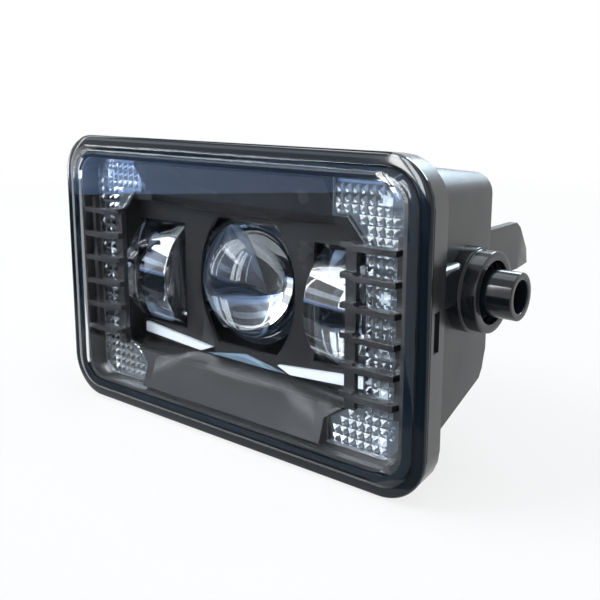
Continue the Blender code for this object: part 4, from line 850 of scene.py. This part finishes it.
def add_card(name, place, size, colour):
    """A level card beside the lamp that only reflections and clear pieces show."""
    mesh = bmesh.new()
    bmesh.ops.create_grid(mesh, x_segments=1, y_segments=1, size=0.5)
    bmesh.ops.scale(mesh, verts=mesh.verts, vec=(*size, 1.0))
    bmesh.ops.translate(mesh, verts=mesh.verts, vec=place)
    data = bpy.data.meshes.new(name)
    mesh.to_mesh(data)
    mesh.free()
    material, tree = new_material(name)
    matt = add_node(tree, "ShaderNodeBsdfDiffuse")
    matt.inputs["Color"].default_value = (*colour, 1.0)
    output = tree.nodes.new("ShaderNodeOutputMaterial")
    tree.links.new(matt.outputs[0], output.inputs["Surface"])
    data.materials.append(material)
    card = bpy.data.objects.new(name, data)
    bpy.context.scene.collection.objects.link(card)
    card.visible_camera = False
    card.visible_shadow = False
    card.visible_diffuse = False
    return card


def seen_white_factor(tree):
    """1 for rays that see the background: camera, glossy and transmission rays."""
    path = tree.nodes.new("ShaderNodeLightPath")
    first = tree.nodes.new("ShaderNodeMath")
    first.operation = "MAXIMUM"
    second = tree.nodes.new("ShaderNodeMath")
    second.operation = "MAXIMUM"
    tree.links.new(path.outputs["Is Camera Ray"], first.inputs[0])
    tree.links.new(path.outputs["Is Glossy Ray"], first.inputs[1])
    tree.links.new(first.outputs[0], second.inputs[0])
    tree.links.new(path.outputs["Is Transmission Ray"], second.inputs[1])
    return second.outputs[0]


# Lamps: name, place, size, the setting that holds the power, colour
LAMPS = (
    ("key", (-0.50, -0.40, 0.60), (0.5, 0.4), "key", (0.95, 0.98, 1.0)),
    ("top", (0.0, 0.15, 0.80), (0.8, 0.5), "top", (0.80, 0.92, 1.0)),
)
# Strips: name, place, target, size, share of the strips' brightness, colour
STRIPS = (
    ("back_sky", (0.15, 0.90, 0.62), (0, 0, 0), (0.9, 0.30), 1.7, (0.68, 0.86, 1.0)),
    ("left_strip", (-0.80, -0.22, 0.60), (0, -0.22, 0.60), (0.06, 1.3), 1.4, (1.0, 1.0, 1.0)),
    ("left_narrow_strip", (-0.72, -0.42, 0.60), (0, -0.05, 0.60), (0.025, 1.3), 1.4, (1.0, 1.0, 1.0)),
    ("front_strip", (-0.33, -0.78, 0.45), (0, -0.05, 0.45), (0.11, 0.9), 3.0, (1.0, 1.0, 1.0)),
    ("front_middle_strip", (-0.17, -0.83, 0.45), (0, -0.05, 0.45), (0.13, 0.9), 2.4, (0.9, 0.95, 1.0)),
    ("front_narrow_strip", (0.05, -0.85, 0.45), (0, -0.05, 0.45), (0.03, 0.9), 0.7, (0.8, 0.9, 1.0)),
    ("high_strip", (-0.55, -0.56, 0.46), FACE_TARGET, (0.9, 0.10), 0.9, (1.0, 1.0, 1.0)),
    ("middle_strip", (-0.60, -0.74, 0.20), FACE_TARGET, (0.9, 0.12), 0.22, (0.75, 0.88, 1.0)),
)
SKY_STRIP_PLACE = (-0.42, -0.46, -0.02)
SKY_STRIP_SIZE = (0.75, 0.06)
SKY_STRIP_COLOUR = (0.35, 0.55, 1.0)
# Cards just above the floor: name, x and y of the middle, size, colour
FLOOR_CARDS = (
    ("ground_card", (-0.375, -0.253), (0.95, 0.355), (0.01, 0.01, 0.01)),
    ("near_card", (-0.375, -0.054), (0.95, 0.042), (0.25, 0.25, 0.25)),
    ("far_card", (-0.7, -0.93), (1.8, 1.0), (0.16, 0.20, 0.26)),
)


def build_world(settings):
    """A plain fill, and plain white for the rays that see the background."""
    world = bpy.data.worlds.new("studio")
    bpy.context.scene.world = world
    world.use_nodes = True
    tree = world.node_tree
    tree.nodes.clear()
    fill = add_node(tree, "ShaderNodeBackground", Strength=settings.fill)
    fill.inputs["Color"].default_value = (0.92, 0.96, 1.0, 1.0)
    white = add_node(tree, "ShaderNodeBackground", Strength=1.0)
    white.inputs["Color"].default_value = (1.0, 1.0, 1.0, 1.0)
    mix = tree.nodes.new("ShaderNodeMixShader")
    output = tree.nodes.new("ShaderNodeOutputWorld")
    tree.links.new(seen_white_factor(tree), mix.inputs[0])
    tree.links.new(fill.outputs[0], mix.inputs[1])
    tree.links.new(white.outputs[0], mix.inputs[2])
    tree.links.new(mix.outputs[0], output.inputs["Surface"])


def floor_material():
    """A pale floor that keeps the lamp's shadow near it and is plain white farther away."""
    material, tree = new_material("floor")
    shade = add_node(tree, "ShaderNodeBsdfDiffuse", Roughness=0.5)
    shade.inputs["Color"].default_value = (0.8, 0.8, 0.8, 1.0)
    glow = add_node(tree, "ShaderNodeEmission", Strength=1.0)
    blend = tree.nodes.new("ShaderNodeMixShader")
    weight = tree.nodes.new("ShaderNodeMath")
    weight.operation = "MULTIPLY"
    place = tree.nodes.new("ShaderNodeTexCoord")
    away = tree.nodes.new("ShaderNodeVectorMath")
    away.operation = "LENGTH"
    fade = add_node(tree, "ShaderNodeMapRange", From_Min=0.2, From_Max=0.9, To_Min=0.8, To_Max=1.0)
    output = tree.nodes.new("ShaderNodeOutputMaterial")
    tree.links.new(place.outputs["Object"], away.inputs[0])
    tree.links.new(away.outputs["Value"], fade.inputs["Value"])
    tree.links.new(fade.outputs["Result"], weight.inputs[1])
    tree.links.new(seen_white_factor(tree), weight.inputs[0])
    tree.links.new(weight.outputs[0], blend.inputs[0])
    tree.links.new(shade.outputs[0], blend.inputs[1])
    tree.links.new(glow.outputs[0], blend.inputs[2])
    tree.links.new(blend.outputs[0], output.inputs["Surface"])
    return material


def build_floor():
    mesh = bmesh.new()
    bmesh.ops.create_grid(mesh, x_segments=1, y_segments=1, size=FLOOR_SIZE)
    data = bpy.data.meshes.new("floor")
    mesh.to_mesh(data)
    mesh.free()
    data.materials.append(floor_material())
    floor = bpy.data.objects.new("floor", data)
    floor.location.z = CAD_BOX[0].z - FLOOR_GAP
    bpy.context.scene.collection.objects.link(floor)


def light_stage(settings):
    """The lamps, the strips that only reflections show, and the cards."""
    for name, place, size, power, colour in LAMPS:
        add_area_light(name, place, FACE_TARGET, size, getattr(settings, power), colour)
    for name, place, target, size, share, colour in STRIPS:
        power = settings.strips * share * math.pi * size[0] * size[1]
        add_area_light(name, place, target, size, power, colour, reflected=True)
    sky_power = settings.sky * math.pi * SKY_STRIP_SIZE[0] * SKY_STRIP_SIZE[1]
    add_area_light(
        "sky_strip", SKY_STRIP_PLACE, FACE_TARGET, SKY_STRIP_SIZE, sky_power, SKY_STRIP_COLOUR, reflected=True
    )
    for name, middle, size, colour in FLOOR_CARDS:
        add_card(name, (*middle, CAD_BOX[0].z + CARD_GAP), size, colour)
    add_card("ceiling_card", (-0.62, 0.0, 0.70), (0.70, 0.75), (0.10, 0.20, 0.32))


def place_camera(settings):
    """A camera where the photo was taken from."""
    lens = bpy.data.cameras.new("camera")
    lens.lens = settings.lens
    lens.sensor_width = SENSOR_WIDTH
    lens.shift_y = PHOTO_SHIFT_PIXELS / PHOTO_PIXELS
    camera = bpy.data.objects.new("camera", lens)
    camera.location = CAMERA_PLACE
    look = (CAMERA_TARGET - CAMERA_PLACE).to_track_quat("-Z", "Y").to_euler()
    look.rotate_axis("Z", CAMERA_ROLL)
    camera.rotation_euler = look
    bpy.context.scene.collection.objects.link(camera)
    bpy.context.scene.camera = camera


class FOGLAMP_OT_stage(bpy.types.Operator):
    """Builds the floor, the lamps, the world and the camera"""

    bl_idname = "foglamp.stage"
    bl_label = "Stage"

    def execute(self, context):
        settings = context.scene.stage_settings
        context.scene.view_settings.view_transform = "Standard"
        build_world(settings)
        build_floor()
        light_stage(settings)
        place_camera(settings)
        return {"FINISHED"}


class FOGLAMP_PT_panel(bpy.types.Panel):
    """Lists the lamp's sizes, colours and building steps"""

    bl_idname = "FOGLAMP_PT_panel"
    bl_label = "Fog Lamp"
    bl_space_type = "VIEW_3D"
    bl_region_type = "UI"
    bl_category = "Fog Lamp"

    def draw(self, context):
        layout = self.layout
        for group_name, kind in GROUPS:
            box = layout.box()
            for name in kind.__annotations__:
                box.prop(getattr(context.scene, group_name), name)
        for step in OPERATORS:
            layout.operator(step.bl_idname)


OPERATORS = (
    FOGLAMP_OT_stage,
    FOGLAMP_OT_finishes,
    FOGLAMP_OT_cover,
    FOGLAMP_OT_housing,
    FOGLAMP_OT_pins,
    FOGLAMP_OT_trim,
    FOGLAMP_OT_projectors,
    FOGLAMP_OT_rear,
)
GROUPS = (
    ("cover_sizes", CoverSizes),
    ("pivot_sizes", PivotSizes),
    ("lamp_colours", LampColours),
    ("stage_settings", StageSettings),
)


def register():
    for name, group in GROUPS:
        bpy.utils.register_class(group)
        setattr(bpy.types.Scene, name, PointerProperty(type=group))
    for step in OPERATORS:
        bpy.utils.register_class(step)
    bpy.utils.register_class(FOGLAMP_PT_panel)


def unregister():
    bpy.utils.unregister_class(FOGLAMP_PT_panel)
    for step in reversed(OPERATORS):
        bpy.utils.unregister_class(step)
    for name, group in reversed(GROUPS):
        delattr(bpy.types.Scene, name)
        bpy.utils.unregister_class(group)


def main():
    register()
    bpy.ops.foglamp.stage()
    bpy.ops.foglamp.finishes()
    bpy.ops.foglamp.cover()
    bpy.ops.foglamp.housing()
    bpy.ops.foglamp.pins()
    bpy.ops.foglamp.trim()
    bpy.ops.foglamp.projectors()
    bpy.ops.foglamp.rear()


if __name__ == "__main__":
    main()
